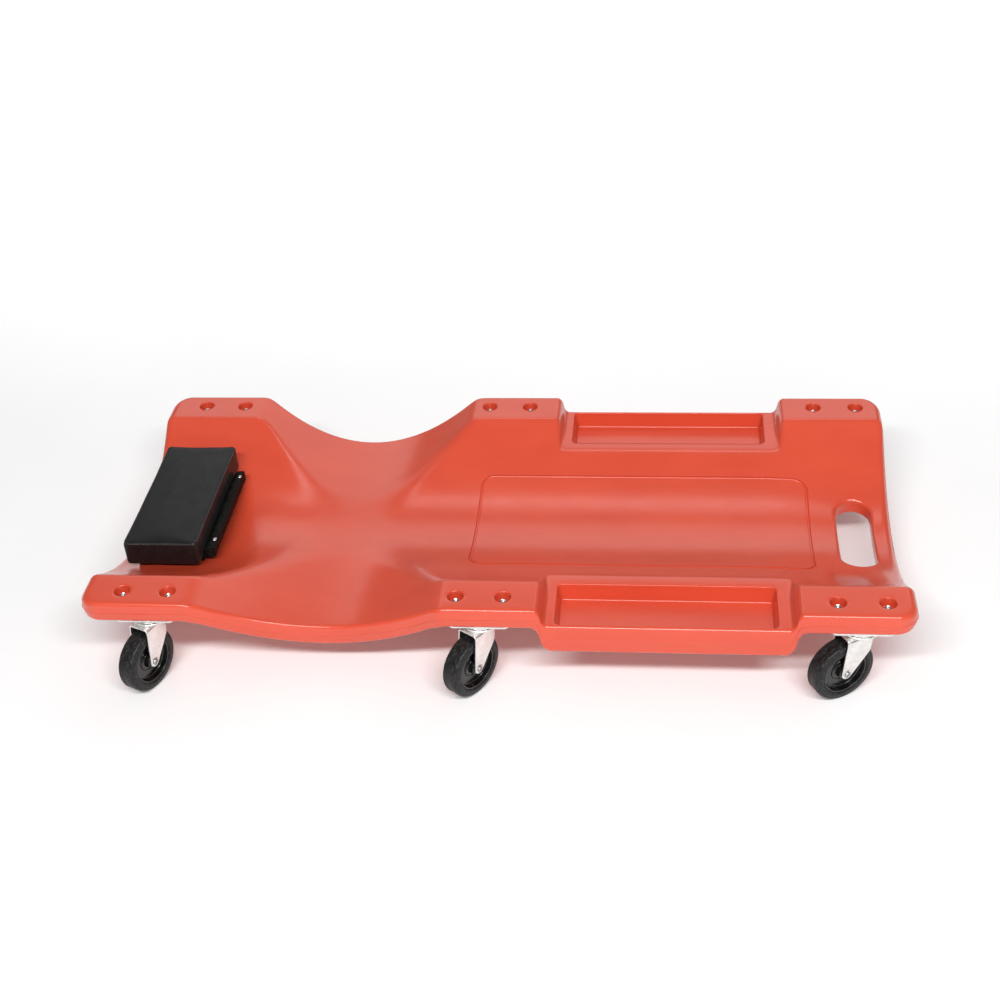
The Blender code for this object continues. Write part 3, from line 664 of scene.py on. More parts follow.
def tray_cutter(side):
    """A shallow tray: floor fillet, drafted walls and a rounded lip."""
    rim = PAD_TOP + BLOCK_TOP
    floor = rim - TRAY_DEPTH
    y_range = TRAY_Y if side > 0 else (-TRAY_Y[1], -TRAY_Y[0])
    sections = []
    for step, angle in enumerate(quarter_turn(8)):
        inset = TRAY_DRAFT * (1 - step / 8 * TRAY_FILLET / TRAY_DEPTH) + TRAY_FILLET * (1 - math.sin(angle))
        sections.append((-inset, floor + TRAY_FILLET * (1 - math.cos(angle))))
    sections += [(out, rim + up) for out, up in lip_steps(TRAY_LIP)]
    return layered(TRAY_X, y_range, TRAY_CORNER, sections)


def slot_cutter():
    """The hand slot right through the foot end, with a rounded lip on both skins."""
    x_range = (SLOT_X - SLOT_WIDTH / 2, SLOT_X + SLOT_WIDTH / 2)
    y_range = (-SLOT_LENGTH / 2, SLOT_LENGTH / 2)
    plain = subdivided(rectangle(x_range, y_range, SLOT_WIDTH / 2 - 1e-4, steps=24), COARSE / 2)
    straight = (SLOT_LENGTH - SLOT_WIDTH) / 2
    rings = []
    for height, sign, steps in (
        (bottom_height, -1, reversed(lip_steps(SLOT_LIP))),
        (top_height, 1, lip_steps(SLOT_LIP)),
    ):
        for out, up in steps:
            ring = []
            for point in plain:
                spine = Vector((SLOT_X, max(-straight, min(straight, point.y))))
                place = point + (point - spine).normalized() * out
                ring.append((*place, float(height(place.x, place.y)) + sign * up))
            rings.append(ring)
    low = min(z for _, _, z in rings[0]) - SLOT_LIP
    high = max(z for _, _, z in rings[-1]) + SLOT_LIP
    rings.insert(0, [(x, y, low) for x, y, _ in rings[0]])
    rings.append([(x, y, high) for x, y, _ in rings[-1]])
    return loft(rings)


def tube(path, radius, closed=True, sides=10):
    """A round tube along a path."""
    rings = []
    count = len(path)
    for i, point in enumerate(path):
        following = path[(i + 1) % count] if closed else path[min(i + 1, count - 1)]
        before = path[i - 1] if closed or i else path[0]
        along = (following - before).normalized()
        up = Vector((0, 0, 1)) if abs(along.z) < 0.9 else Vector((1, 0, 0))
        across = along.cross(up).normalized()
        up = across.cross(along)
        ring = []
        for side in range(sides):
            angle = math.tau * (side + 0.5) / sides
            ring.append(tuple(point + radius * (math.cos(angle) * across + math.sin(angle) * up)))
        rings.append(ring)
    return loft(rings, closed)


def groove_cutter():
    """The rectangle pressed into the floor of the trough, as a tube that follows the floor."""
    y_range = (-GROOVE_HALF_WIDTH, GROOVE_HALF_WIDTH)
    outline = subdivided(rectangle(GROOVE_X, y_range, GROOVE_CORNER, steps=12), COARSE)
    path = [Vector((p.x, p.y, float(top_height(p.x, p.y)) - GROOVE_SINK)) for p in outline]
    return tube(path, GROOVE_RADIUS)


def vent_cutter():
    """The blow hole in the bottom skin, as a blind hole."""
    start = float(bottom_height(VENT_X, 0.0))
    depth = 0.006
    profile = [(0, start + depth), (VENT_RADIUS, start + depth), (VENT_RADIUS, start + 0.001)]
    profile += [(VENT_RADIUS + 0.002, start - 0.001), (0, start - 0.001)]
    return moved(turned(profile, 40), (VENT_X, 0, 0))


def build_deck(material):
    deck = add("deck_shell", mesh_of("deck_shell", deck_form()), material)
    bore = bore_cutter()
    shapes = [moved(bore, (x, y, 0)) for _, x, y in bolt_places()]
    shapes += [tray_cutter(side) for side in (-1, 1)] + [slot_cutter(), groove_cutter(), vent_cutter()]
    cut(deck, "deck_cutter", joined(shapes))
    return finished(deck, "deck", "red_plastic", "deck")


# Headrest

CUSHION_LOW, CUSHION_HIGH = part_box("headrest_cushion")
CUSHION_MIDDLE = (CUSHION_LOW + CUSHION_HIGH) / 2
CUSHION_X, CUSHION_Y = (CUSHION_LOW.x, CUSHION_HIGH.x), (CUSHION_LOW.y, CUSHION_HIGH.y)
CUSHION_PULL = 0.0016  # how far the sides are pulled in between the corners
CUSHION_CORNER = 0.0030
CUSHION_EDGE = 0.0016  # rounding of the top edge
CUSHION_EDGE_BELOW = 0.006
CUSHION_VOXEL = 0.0025
CUSHION_SWELL = 0.0016  # the furthest a point may move
SEAM_REACH = 0.0035  # the cover is held this near to a sewn edge
DENT = 0.0005  # the most that the top is dented
FOLD = 0.0004  # and that a side is creased
SEAM_DROP = 0.0120  # the seam is found by looking out and up from this far below the top
SEAM_SLOPE = 0.90
SEAM_SINK = 0.0002  # the piping's middle lies this far inside the cover
PIPING_RADIUS = 0.0010
LIP_LOW, LIP_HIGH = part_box("headrest_base")
LIP_WIDTH = 0.0080
LIP_BEVEL = 0.0012
SCREW_HEAD_HEIGHT = 0.0020
LIP_PIT = 0.00055  # depth of its fine roughness
LIP_WAVE = 0.00045  # and of its coarse roughness
LIP_WEB_LOW = PAD_TOP - 0.0435
ROOT_REACH = 0.012  # how far the lip's web reaches back under the cushion
BASE_FOOT = -0.392  # the foot side of the block under the cushion
BASE_CLEARANCE = 0.0008


def cushion_form():
    """A block with rounded edges, its sides pulled in a little between the corners."""
    low, high = CUSHION_LOW.z + 0.0006, CUSHION_HIGH.z
    sections = []
    for angle in quarter_turn():
        inset = CUSHION_EDGE_BELOW * (1 - math.sin(angle))
        sections.append((-inset, low + CUSHION_EDGE_BELOW * (1 - math.cos(angle))))
    for angle in quarter_turn():
        inset = CUSHION_EDGE * (1 - math.cos(angle))
        sections.append((-inset, high - CUSHION_EDGE * (1 - math.sin(angle))))
    return loft([[(*p, z) for p in cushion_outline(0.004, grow)] for grow, z in sections])


def cushion_outline(longest, grow=0.0):
    outline = rectangle(CUSHION_X, CUSHION_Y, CUSHION_CORNER, grow)
    return [pulled_in(point) for point in subdivided(outline, longest)]


def pulled_in(point):
    """A point of the outline, moved towards the middle by how far it is from the corners."""
    half = (CUSHION_HIGH - CUSHION_LOW) / 2
    moved_point = [point[0], point[1]]
    for axis, other in ((0, 1), (1, 0)):
        along = (point[other] - CUSHION_MIDDLE[other]) / half[other]
        across = (point[axis] - CUSHION_MIDDLE[axis]) / half[axis]
        moved_point[axis] -= CUSHION_PULL * across**9 * max(0.0, 1 - along * along)
    return moved_point


def hold_edges(obj):
    """Weights that hold the underside and the sewn edges, where two panels meet."""
    held = obj.vertex_groups.new(name="held")
    for vertex in obj.data.vertices:
        gaps = [CUSHION_HIGH.z - vertex.co.z]
        for axis in (0, 1):
            gaps.append(min(vertex.co[axis] - CUSHION_LOW[axis], CUSHION_HIGH[axis] - vertex.co[axis]))
        near_edge = sorted(gaps)[1] < SEAM_REACH
        if near_edge or vertex.co.z < CUSHION_LOW.z + 0.004:
            held.add([vertex.index], 1.0, "REPLACE")


def puff(obj):
    """Swell the panels between the sewn edges with a short cloth simulation."""
    rest = np.array([v.co for v in obj.data.vertices])
    cloth = obj.modifiers.new("cloth", "CLOTH")
    configure(cloth.settings, use_pressure=True, uniform_pressure_force=4, quality=6)
    configure(cloth.settings, tension_stiffness=22, compression_stiffness=12, bending_stiffness=0.6)
    cloth.settings.vertex_group_mass = "held"
    cloth.settings.effector_weights.gravity = 0
    cloth.collision_settings.use_collision = False
    for number in range(1, 21):
        bpy.context.scene.frame_set(number)
    mesh = settle(obj)
    bpy.context.scene.frame_set(1)
    swollen = np.array([v.co for v in mesh.vertices])
    shift = swollen - rest
    length = np.linalg.norm(shift, axis=1)[:, None]
    shift *= np.minimum(1, CUSHION_SWELL / np.maximum(length, 1e-9))
    mesh.vertices.foreach_set("co", (rest + shift).ravel())


def wrinkle(mesh):
    """Soft dents in the top, and faint creases that run down the sides from the seam."""
    middle = CUSHION_MIDDLE.z
    for vertex in mesh.vertices:
        x, y, z = vertex.co
        dent = noise.noise(Vector((x * 26, y * 17, z * 20))) * DENT
        fold = noise.noise(Vector((x * 90, y * 90, z * 16))) * FOLD
        on_side = float(smooth_step(CUSHION_HIGH.z - z, 0.003, 0.012)) * float(z > middle - 0.012)
        vertex.co += vertex.normal * (dent * (1 - on_side) + fold * on_side)


def on_cover(cover, point, height, rise):
    """Where a line from inside the cushion, out towards this plan point and up, leaves the cover."""
    margin = 0.012
    inner = Vector((0, 0, height))
    for axis in (0, 1):
        inner[axis] = min(max(point[axis], CUSHION_LOW[axis] + margin), CUSHION_HIGH[axis] - margin)
    outward = (Vector((point[0], point[1], height)) - inner).normalized()
    hit, place, normal, _ = cover.ray_cast(inner, outward + Vector((0, 0, rise)))
    return place - normal * SEAM_SINK if hit else inner + outward * margin


def seams(cover):
    """Piping round the top edge, and down each of the four corners."""
    below_top = CUSHION_HIGH.z - SEAM_DROP
    path = [on_cover(cover, point, below_top, SEAM_SLOPE) for point in cushion_outline(0.003)]
    shapes = [tube(path, PIPING_RADIUS)]
    for x in CUSHION_X:
        for y in CUSHION_Y:
            heights = np.linspace(CUSHION_HIGH.z - 0.004, CUSHION_LOW.z + CUSHION_EDGE_BELOW, 14)
            path = [on_cover(cover, (x, y), float(z), 0.0) for z in heights]
            shapes.append(tube(path, 0.7 * PIPING_RADIUS, closed=False))
    return joined(shapes)


def build_cushion(material, edging):
    cover = add("headrest_cover", mesh_of("headrest_cover", cushion_form(), 180), material)
    remesh = cover.modifiers.new("voxels", "REMESH")
    configure(remesh, mode="VOXEL", voxel_size=CUSHION_VOXEL, use_smooth_shade=True)
    settle(cover)
    hold_edges(cover)
    puff(cover)
    smooth = cover.modifiers.new("smooth", "SMOOTH")
    configure(smooth, factor=0.5, iterations=2, vertex_group="held", invert_vertex_group=True)
    configure(cover.modifiers.new("divide", "SUBSURF"), levels=1, render_levels=1)
    mesh = settle(cover)
    cover.vertex_groups.clear()
    wrinkle(mesh)
    mesh.shade_smooth()
    bpy.context.view_layer.update()
    piping = add("headrest_piping", mesh_of("headrest_piping", seams(cover), 180), edging)
    finished(cover, "deck", "black_vinyl", "headrest_cushion")
    finished(piping, "deck", "black_vinyl")


def lip_sections():
    """(y, drop) of the lip's cross-sections: full along the middle, with rounded ends."""
    half = LIP_HIGH.y
    inner = [(float(y), 0.0) for y in np.arange(-half + 0.003, half - 0.0025, 0.0015)]
    ends = [(-half, 0.0014), (-half + 0.0004, 0.0006), (-half + 0.0014, 0.0)]
    return ends + inner + [(-y, drop) for y, drop in reversed(ends)]


def base_form():
    """The block under the cushion, which follows the trough, and the rough lip along its foot side."""
    top = CUSHION_LOW.z - 0.0003
    root = CUSHION_HIGH.x - ROOT_REACH
    inside = CUSHION_HIGH.x + 0.0004
    outside = LIP_HIGH.x
    rings = []
    for y, drop in lip_sections():
        high = LIP_HIGH.z - drop
        outline = [(root, LIP_WEB_LOW, 0), (outside, LIP_WEB_LOW, 0.003), (outside, high, LIP_BEVEL)]
        outline += [(outside - LIP_WIDTH, high, LIP_BEVEL), (inside + 0.001, high - 0.0028, 0.0015)]
        outline += [(inside, top - 0.0003, 0.0003), (root, top - 0.0003, 0)]
        section = subdivided(rounded(outline, steps=4), 0.002)
        ring = []
        for p in section:
            rough = noise.noise(Vector((p.x * 400, y * 260, p.y * 400))) * LIP_PIT
            rough += noise.noise(Vector((p.x * 90, y * 70, 7.0))) * LIP_WAVE
            ring.append((min(p.x + rough, outside), y, p.y + rough * float(p.y > top)))
        rings.append(ring)
    lip = loft(rings)
    xs = np.linspace(LIP_LOW.x, BASE_FOOT, 9)
    ys = np.linspace(LIP_LOW.y, LIP_HIGH.y, 33)
    x, y = np.meshgrid(xs, ys, indexing="ij")
    upper = np.dstack([x, y, np.full(x.shape, top)])
    lower = np.dstack([x, y, top_height(x, y) + BASE_CLEARANCE])
    return joined([lip, shell(upper, lower)])


def screw_mesh():
    """A pan-head screw with a cross recess, its head's underside at z = 0."""
    radius, height = 0.0030, SCREW_HEAD_HEIGHT
    profile = [(0, -0.010), (0.0013, -0.008), (0.0013, 0.0), (radius, 0.0), (radius, 0.0007)]
    for angle in quarter_turn()[1:]:
        profile.append((radius * math.cos(angle), 0.0007 + (height - 0.0007) * math.sin(angle)))
    profile[-1] = (0, height)
    screw = add("screw_form", mesh_of("screw_form", turned(profile, 40)))
    long, wide, deep = 0.0017, 0.0004, 0.0012
    bars = []
    for half_x, half_y in ((long, wide), (wide, long)):
        outline = rectangle((-half_x, half_x), (-half_y, half_y), 0.0002, steps=2)
        floor = [(*(p * 0.7), height - deep) for p in outline]
        bars.append(loft([floor, [(*p, height * 1.2) for p in outline]]))
    for bar in bars:
        mesh = cut(screw, "recess", bar)
    bpy.data.objects.remove(screw, do_unlink=True)
    return mesh


def build_headrest(vinyl, edging, plastic, steel):
    """The cushion with its piping, the base with its lip, and the screws in the lip."""
    build_cushion(vinyl, edging)
    base = add("headrest_tray", mesh_of("headrest_tray", base_form()), plastic)
    finished(base, "deck", "black_plastic", "headrest_base")
    screw = screw_mesh()
    screw.materials.clear()
    for side in SIDES:
        place = middle_of(f"headrest_screw_{side}")
        place.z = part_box(f"headrest_screw_{side}")[1].z - SCREW_HEAD_HEIGHT
        piece = add(f"pan_screw_{side}", screw, steel, Matrix.Translation(place))
        finished(piece, "deck", "bright_steel", f"headrest_screw_{side}")


# Bolts and nuts


def hex_ring(z, limit=1.0, inner=None):
    """A ring of points on a hexagon, held within a circle so its corners are chamfered."""
    ring = []
    for i in range(72):
        angle = math.tau * i / 72
        to_flat = (angle + math.pi / 6) % (math.pi / 3) - math.pi / 6
        radius = min(HEX_FLAT / math.cos(to_flat), limit) if inner is None else inner
        ring.append((radius * math.cos(angle), radius * math.sin(angle), z))
    return ring


def bolt_mesh(head_low, head_high, end):
    """A hexagon bolt, head down, with its thread's end chamfered."""
    full = HEX_FLAT * HEX_CORNER
    rings = [hex_ring(head_low + 0.0003, inner=0.0001), hex_ring(head_low + 0.0003, inner=0.0034)]
    rings += [hex_ring(head_low, inner=0.0038), hex_ring(head_low, HEX_FLAT * 0.98)]
    rings += [hex_ring(head_low + 0.0006, full), hex_ring(head_high - 0.0006, full)]
    rings += [hex_ring(head_high - 0.0006, inner=0.0062), hex_ring(head_high, inner=0.0062)]
    rings += [hex_ring(head_high, inner=BOLT_RADIUS)]
    turns = int((end - head_high) / THREAD_PITCH)
    for turn in range(turns):
        z = end - 0.0006 - THREAD_PITCH * (turns - turn - 1)
        if z - THREAD_PITCH > head_high:
            rings.append(hex_ring(z - THREAD_PITCH, inner=BOLT_RADIUS - 0.0003))
            rings.append(hex_ring(z - THREAD_PITCH / 2, inner=BOLT_RADIUS))
    rings += [hex_ring(end - 0.0005, inner=BOLT_RADIUS - 0.0002), hex_ring(end, inner=0.0022)]
    rings.append(hex_ring(end - 0.0001, inner=0.0001))
    return mesh_of("hex_bolt", loft(rings), 30)


def nut_mesh(low, high):
    """A lock nut: a hexagon with a rounded collar above it, open down to the bolt's end."""
    full = HEX_FLAT * HEX_CORNER
    shoulder = high - 0.0020
    rings = [hex_ring(low, inner=BOLT_RADIUS + 0.0002), hex_ring(low, HEX_FLAT * 1.02)]
    rings += [hex_ring(low + 0.0005, full), hex_ring(shoulder - 0.0005, full)]
    rings += [hex_ring(shoulder, HEX_FLAT * 1.00), hex_ring(shoulder + 0.0002, inner=0.0046)]
    for angle in quarter_turn():
        out = 0.0037 + 0.0009 * math.cos(angle)
        rings.append(hex_ring(high - 0.0009 + 0.0009 * math.sin(angle), inner=out))
    rings += [hex_ring(high - 0.0004, inner=0.0033), hex_ring(high - 0.0016, inner=BOLT_RADIUS + 0.0002)]
    return mesh_of("lock_nut", loft(rings, closed=True), 30)


def build_fasteners(material):
    bolt_low, bolt_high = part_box("bolt_head_right_a")
    nut_low, nut_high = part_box("nut_head_right_a")
    head_high = bolt_low.z + HEAD_HEIGHT
    bolt = bolt_mesh(bolt_low.z, head_high, bolt_high.z - 0.0012)
    nut = nut_mesh(nut_low.z, nut_high.z)
    for index, (name, x, y) in enumerate(bolt_places()):
        place = Matrix.Translation((x, y, 0)) @ Matrix.Rotation(math.radians(17 + 23 * index), 4, "Z")
        for kind, mesh in (("bolt", bolt), ("nut", nut)):
            piece = add(f"m6_{kind}_{name}", mesh, material, place)
            finished(piece, "deck", "bright_steel", f"{kind}_{name}")


# Casters

PLATE_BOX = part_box("plate_head_right")
PLATE_TOP = PLATE_BOX[1].z
KINGPIN_BOTTOM = PLATE_BOX[0].z
PLATE_THICKNESS = 0.003
PLATE_BOTTOM = PLATE_TOP - PLATE_THICKNESS
RACE_RADIUS = 0.0224
RACE_BOTTOM = PLATE_BOTTOM - 0.0052
CROWN_RADIUS = 0.0228
CROWN_TOP = RACE_BOTTOM - 0.0005
CROWN_BOTTOM = CROWN_TOP - 0.0045
BRIDGE_TOP = CROWN_BOTTOM + 0.0005
BRIDGE_X = (-0.0105, 0.0260)


def plate_mesh():
    """The top plate, with the upper race pressed out below it and the kingpin riveted through."""
    half_x = (PLATE_BOX[1].x - PLATE_BOX[0].x) / 2
    half_y = (PLATE_BOX[1].y - PLATE_BOX[0].y) / 2
    edge = 0.0006
    sections = [(-edge, PLATE_BOTTOM), (-edge / 3, PLATE_BOTTOM + edge / 3), (0, PLATE_BOTTOM + edge)]
    sections += [(0, PLATE_TOP - edge), (-edge / 3, PLATE_TOP - edge / 3), (-edge, PLATE_TOP)]
    sheet = layered((-half_x, half_x), (-half_y, half_y), 0.007, sections)
    race = rounded(
        [
            (0, PLATE_BOTTOM + 0.001, 0),
            (RACE_RADIUS + 0.0012, PLATE_BOTTOM + 0.001, 0),
            (RACE_RADIUS + 0.0012, PLATE_BOTTOM - 0.0001, 0),
            (RACE_RADIUS, PLATE_BOTTOM - 0.0008, 0.0006),
            (RACE_RADIUS, RACE_BOTTOM, 0.0024),
            (0.0160, RACE_BOTTOM, 0.0004),
            (0.0150, RACE_BOTTOM + 0.0008, 0.0004),
            (0.0050, RACE_BOTTOM + 0.0008, 0),
            (0.0050, KINGPIN_BOTTOM + 0.0032, 0),
            (0.0085, KINGPIN_BOTTOM + 0.0032, 0.0004),
            (0.0085, KINGPIN_BOTTOM + 0.0018, 0.0008),
            (0.0058, KINGPIN_BOTTOM, 0.0012),
            (0.0030, KINGPIN_BOTTOM, 0.0003),
            (0.0024, KINGPIN_BOTTOM + 0.0008, 0.0003),
            (0, KINGPIN_BOTTOM + 0.0008, 0),
        ],
        closed=False,
    )
    return mesh_of("top_plate", joined([sheet, turned(race, 96)]), 30)


def tangent_angle(corner, centre, side):
    """Where a line from the corner touches the leg's round tip."""
    to_corner = Vector(corner) - centre
    return math.atan2(to_corner.y, to_corner.x) + side * math.acos(LEG_TIP_RADIUS / to_corner.length)


def leg_chains():
    """Front and back edges of a leg, as (z, x) rising from the lowest point of its round tip."""
    centre = Vector((TRAIL, WHEEL_RADIUS))
    front = tangent_angle(LEG_KNEE, centre, 1) - math.tau
    back = tangent_angle((LEG_TOP_BACK, BRIDGE_TOP), centre, -1)
    bottom = -math.pi / 2
    chains = []
    top_front, top_back = (LEG_TOP_FRONT, BRIDGE_TOP), (LEG_TOP_BACK, BRIDGE_TOP)
    for end, tail in ((front, [LEG_KNEE, top_front]), (back, [top_back])):
        arc = []
        for step in range(25):
            angle = bottom + (end - bottom) * step / 24
            arc.append(centre + LEG_TIP_RADIUS * Vector((math.cos(angle), math.sin(angle))))
        points = arc + tail
        chains.append(([z for _, z in points], [x for x, _ in points]))
    return chains


def fork_mesh():
    """A fork bent from one sheet, under a pressed round crown that runs on the race."""
    chains = leg_chains()
    half = LEG_THICKNESS / 2
    bend = 0.0034  # of the sheet's middle
    side = LEG_INSIDE + half
    level = BRIDGE_TOP + 0.0001 - half
    tip = WHEEL_RADIUS - LEG_TIP_RADIUS
    heights = [tip + LEG_TIP_RADIUS * (1 - math.cos(math.radians(a))) for a in range(9, 91, 9)]
    heights += list(np.linspace(WHEEL_RADIUS, level - bend, 14)[1:])
    places = [(side, z, Vector((0, 1, 0))) for z in heights]
    for angle in quarter_turn(8)[1:]:
        y = side - bend * (1 - math.cos(angle))
        z = level - bend * (1 - math.sin(angle))
        places.append((y, z, Vector((0, math.cos(angle), math.sin(angle)))))
    stations = []  # (y, z, direction out of the sheet, x of front and back)
    for y, z, out in places:
        stations.append((y, z, out, *(float(np.interp(z, *chain)) for chain in chains)))
    middle = [(y, level, Vector((0, 0, 1)), *BRIDGE_X) for y in (0.006, 0.0)]
    other = [(-y, z, Vector((0, -n.y, n.z)), a, b) for y, z, n, a, b in reversed(stations + middle[:1])]
    rings = []
    for y, z, out, x0, x1 in stations + middle + other:
        edge = min(0.0007, (x1 - x0) / 2.2)
        corners = [(x0, -half, edge), (x1, -half, edge), (x1, half, edge), (x0, half, edge)]
        section = rounded(corners, steps=4)
        rings.append([tuple(Vector((p.x, y, z)) + out * p.y) for p in section])
    crown = rounded(
        [
            (0.0052, CROWN_TOP - 0.0010, 0),
            (0.0145, CROWN_TOP - 0.0010, 0.0004),
            (0.0155, CROWN_TOP, 0.0004),
            (CROWN_RADIUS, CROWN_TOP, 0.0010),
            (CROWN_RADIUS, CROWN_TOP - 0.0020, 0.0010),
            (CROWN_RADIUS - 0.0035, CROWN_BOTTOM, 0.0012),
            (0.0052, CROWN_BOTTOM, 0),
        ]
    )
    shapes = [loft(rings), turned(crown, 96, closed=True)]
    for direction in (-1, 1):
        disc = [(0, 0, 0), (0.0066, 0, 0.0004), (0.0060, 0.0003, 0.0002), (0, 0.0003, 0)]
        ring = rounded(disc, closed=False)
        wall = LEG_INSIDE + LEG_THICKNESS - 0.0002
        profile = [(p.x, direction * (wall + p.y)) for p in ring]
        shapes.append(moved(turned(profile, 48, "Y"), (TRAIL, 0, WHEEL_RADIUS)))
    return mesh_of("sheet_fork", joined(shapes), 32)


def axle_mesh():
    """A hollow rivet for an axle, about Y: its rolled rim stands outside each leg, round a deep hole."""
    seat = LEG_INSIDE + LEG_THICKNESS + 0.0003
    corners = [
        (0.0036, 0, 0),
        (0.0036, seat, 0),
        (0.0040, seat, 0.0002),
        (0.0040, seat + 0.0009, 0.0004),
        (0.0033, seat + 0.0018, 0.0006),
        (0.0021, seat + 0.0018, 0.0005),
        (0.0018, seat - 0.0020, 0.0002),
        (0, seat - 0.0020, 0),
    ]
    half = rounded(corners, closed=False)
    profile = [(r, -h) for r, h in reversed(half)] + half[1:]
    return mesh_of("axle_pin", turned(profile, 48, "Y"), 30)


def hub_mesh():
    """A dished hub: boss, a ring round the web, and a deep rim."""
    half = [
        (0.0041, 0, 0),
        (0.0041, 0.0117, 0.0004),
        (0.0088, 0.0117, 0.0008),
        (0.0100, 0.0042, 0.0012),
        (0.0132, 0.0038, 0.0006),
        (0.0138, 0.0050, 0.0004),
        (0.0150, 0.0050, 0.0004),
        (0.0156, 0.0036, 0.0006),
        (0.0262, 0.0036, 0.0020),
        (0.0276, 0.0108, 0.0005),
        (0.0295, 0.0108, 0.0005),
        (0.0295, 0, 0),
    ]
    side = rounded(half, closed=False)
    profile = side + [(r, -h) for r, h in reversed(side[1:-1])]
    return mesh_of("wheel_hub", turned(profile, 96, "Y", closed=True), 30)


def tyre_mesh():
    """A solid tyre with round shoulders, fine mould lines on the tread and a raised bead."""
    outer, wide = WHEEL_RADIUS, 0.0120
    line, rise = 0.0006, 0.00045
    tread = outer - rise
    corners = [(0.0300, 0, 0), (0.0300, wide - 0.0006, 0.0004), (0.0312, wide - 0.0006, 0.0003)]
    corners += [(0.0318, wide, 0.0003), (0.0345, wide, 0.0012), (0.0352, wide - 0.0006, 0.0004)]
    corners += [(tread, wide - 0.0012, 0.0030)]
    side = rounded(corners + [(tread, 0, 0)], closed=False)
    marks = []
    for place in (0.0078, 0.0040):
        marks += [(tread, place + line), (outer, place + line / 3)]
        marks += [(outer, place - line / 3), (tread, place - line)]
    side = side[:-1] + marks
    profile = side + [(r, -h) for r, h in reversed(side)]
    profile = profile[1:-1]
    return mesh_of("wheel_tyre", turned(profile, 128, "Y", closed=True), 30)


def build_casters(zinc, steel, hub_plastic, rubber):
    kinds = [("top_plate", "plate", plate_mesh(), zinc, "zinc", "deck")]
    kinds.append(("sheet_fork", "fork", fork_mesh(), zinc, "zinc", "caster"))
    kinds.append(("axle_pin", "axle", axle_mesh(), steel, "bright_steel", "caster"))
    kinds.append(("dished_hub", "hub", hub_mesh(), hub_plastic, "hub_plastic", "wheel"))
    kinds.append(("solid_tyre", "tyre", tyre_mesh(), rubber, "rubber", "wheel"))
    for name in CASTERS:
        plate = middle_of(f"plate_{name}")
        wheel = middle_of(f"hub_{name}")
        turn = Matrix.Rotation(math.atan2(wheel.y - plate.y, wheel.x - plate.x), 4, "Z")
        on_floor = Matrix.Translation((plate.x, plate.y, 0))
        at_wheel = Matrix.Translation(wheel) @ turn
        places = {"plate": on_floor, "fork": on_floor @ turn}
        for piece_name, node, mesh, material, finish, body in kinds:
            piece = add(f"{piece_name}_{name}", mesh, material, places.get(node, at_wheel))
            finished(piece, body if body == "deck" else f"{body}_{name}", finish, f"{node}_{name}")


# Floor, light and camera

CAMERA_PLACE = Vector((0.21693, -1.60609, 1.30520))
CAMERA_DOWN = math.radians(36.11)
CAMERA_AZIMUTH = math.radians(-7.87)  # from +Y towards +X
CAMERA_ROLL = math.radians(4.12)
CAMERA_LENS = 54.64  # mm, on a 36 mm sensor


def build_camera():
    ahead = Vector((math.sin(CAMERA_AZIMUTH), math.cos(CAMERA_AZIMUTH), 0)) * math.cos(CAMERA_DOWN)
    ahead.z = -math.sin(CAMERA_DOWN)
    level = Vector((math.cos(CAMERA_AZIMUTH), -math.sin(CAMERA_AZIMUTH), 0))
    down = ahead.cross(level)
    across = math.cos(CAMERA_ROLL) * level + math.sin(CAMERA_ROLL) * down
    up = math.sin(CAMERA_ROLL) * level - math.cos(CAMERA_ROLL) * down
    camera = bpy.data.cameras.new("camera")
    configure(camera, sensor_width=36, lens=CAMERA_LENS, clip_start=0.02)
    matrix = Matrix((across, up, -ahead)).transposed().to_4x4()
    matrix.translation = CAMERA_PLACE
    bpy.context.scene.camera = add("camera", camera, matrix=matrix)


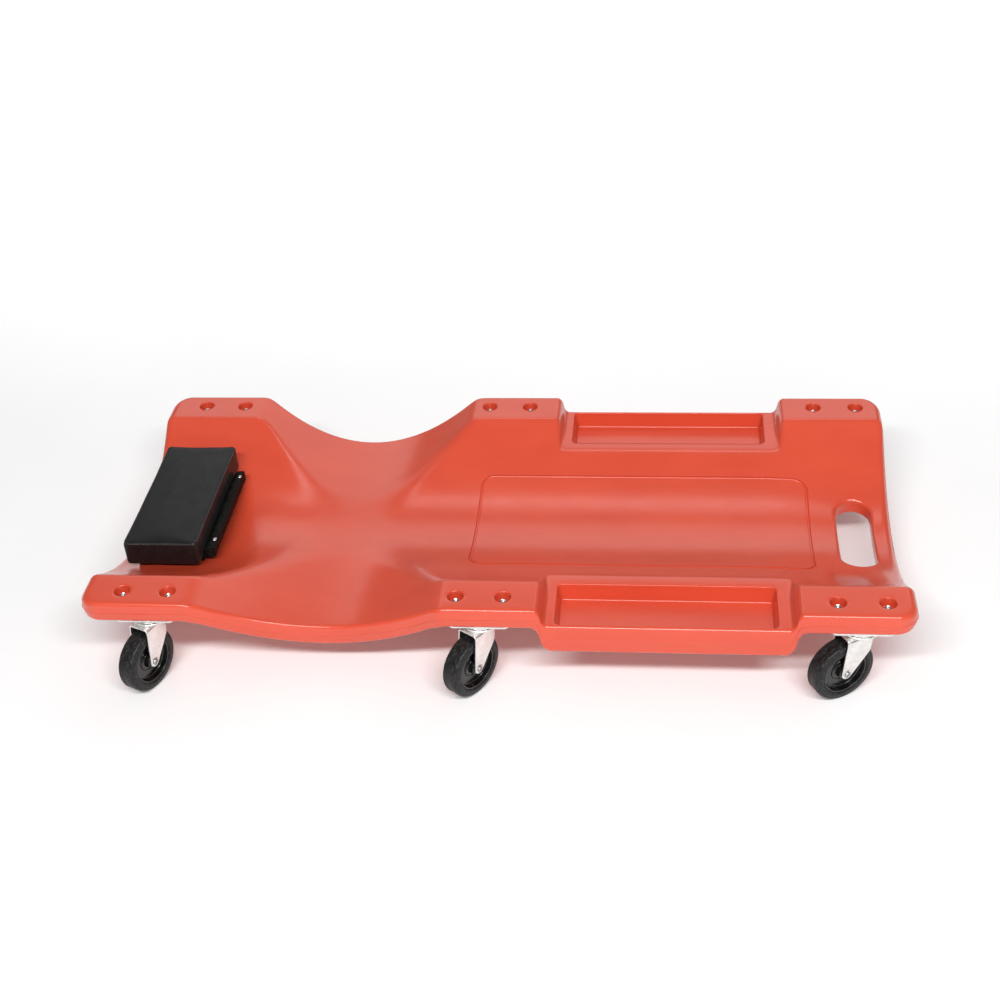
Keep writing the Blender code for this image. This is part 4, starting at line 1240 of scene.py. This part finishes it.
def soft_light(name, place, aim, size, power, spread=180):
    light = bpy.data.lights.new(name, "AREA")
    configure(light, shape="RECTANGLE", spread=math.radians(spread), energy=power)
    light.size, light.size_y = size
    obj = add(name, light)
    obj.location = place
    obj.rotation_euler = (Vector(aim) - Vector(place)).to_track_quat("-Z", "Y").to_euler()


def build_studio():
    world = bpy.data.worlds.new("studio")
    bpy.context.scene.world = world
    world.use_nodes = True
    constants(world.node_tree.nodes["Background"], Color=(1, 1, 1, 1), Strength=0.23)
    soft_light("back_wall", (0.1, 3.2, 2.0), (0.0, 0.0, 0.05), (4.4, 1.5), 20)
    soft_light("front_high", (0.2, -2.0, 2.5), (0.0, 0.0, 0.0), (3.0, 0.22), 101)
    soft_light("front_low", (0.6, -2.6, 0.7), (0.0, 0.0, 0.05), (2.4, 0.5), 7)
    soft_light("far_floor", (0.0, 2.2, 2.6), (0.0, 2.2, 0.0), (6.0, 1.4), 50, 80)

    made, tree, shader, where = new_material("pale_floor")
    patch = noise_of(tree, where, 3, 3, 0.5)
    tree.links.new(ramp(tree, patch, *grey(0.90, 0.92)), shader.inputs["Base Color"])
    constants(shader, Roughness=0.9, Emission_Color=(1, 1, 1, 1), Emission_Strength=0.07)
    reach = 8.0
    corners = [(-reach, -reach, 0), (reach, -reach, 0), (reach, reach, 0), (-reach, reach, 0)]
    floor = add("floor", mesh_of("floor", (corners, [(0, 1, 2, 3)])), made)
    bpy.context.scene.view_settings.view_transform = "Standard"


def main():
    red = moulded_red()
    vinyl = vinyl_black()
    plastic = plastic_black()
    pin_steel = metal("pin_steel", grey(0.36, 0.55), (0.24, 0.40), 1200)
    warm_greys = ((0.76, 0.75, 0.73), (0.90, 0.89, 0.87))
    zinc = metal("zinc_plate", warm_greys, (0.24, 0.38), 700, (1.0, 1.0, 0.3))
    steel = metal("bright_steel_plate", grey(0.66, 0.82), (0.20, 0.34), 1200)
    build_deck(red)
    build_headrest(vinyl, piping_painted_highlight(), plastic, steel)
    build_fasteners(steel)
    build_casters(zinc, pin_steel, hub_black(), tyre_rubber())
    build_studio()
    build_camera()


main()
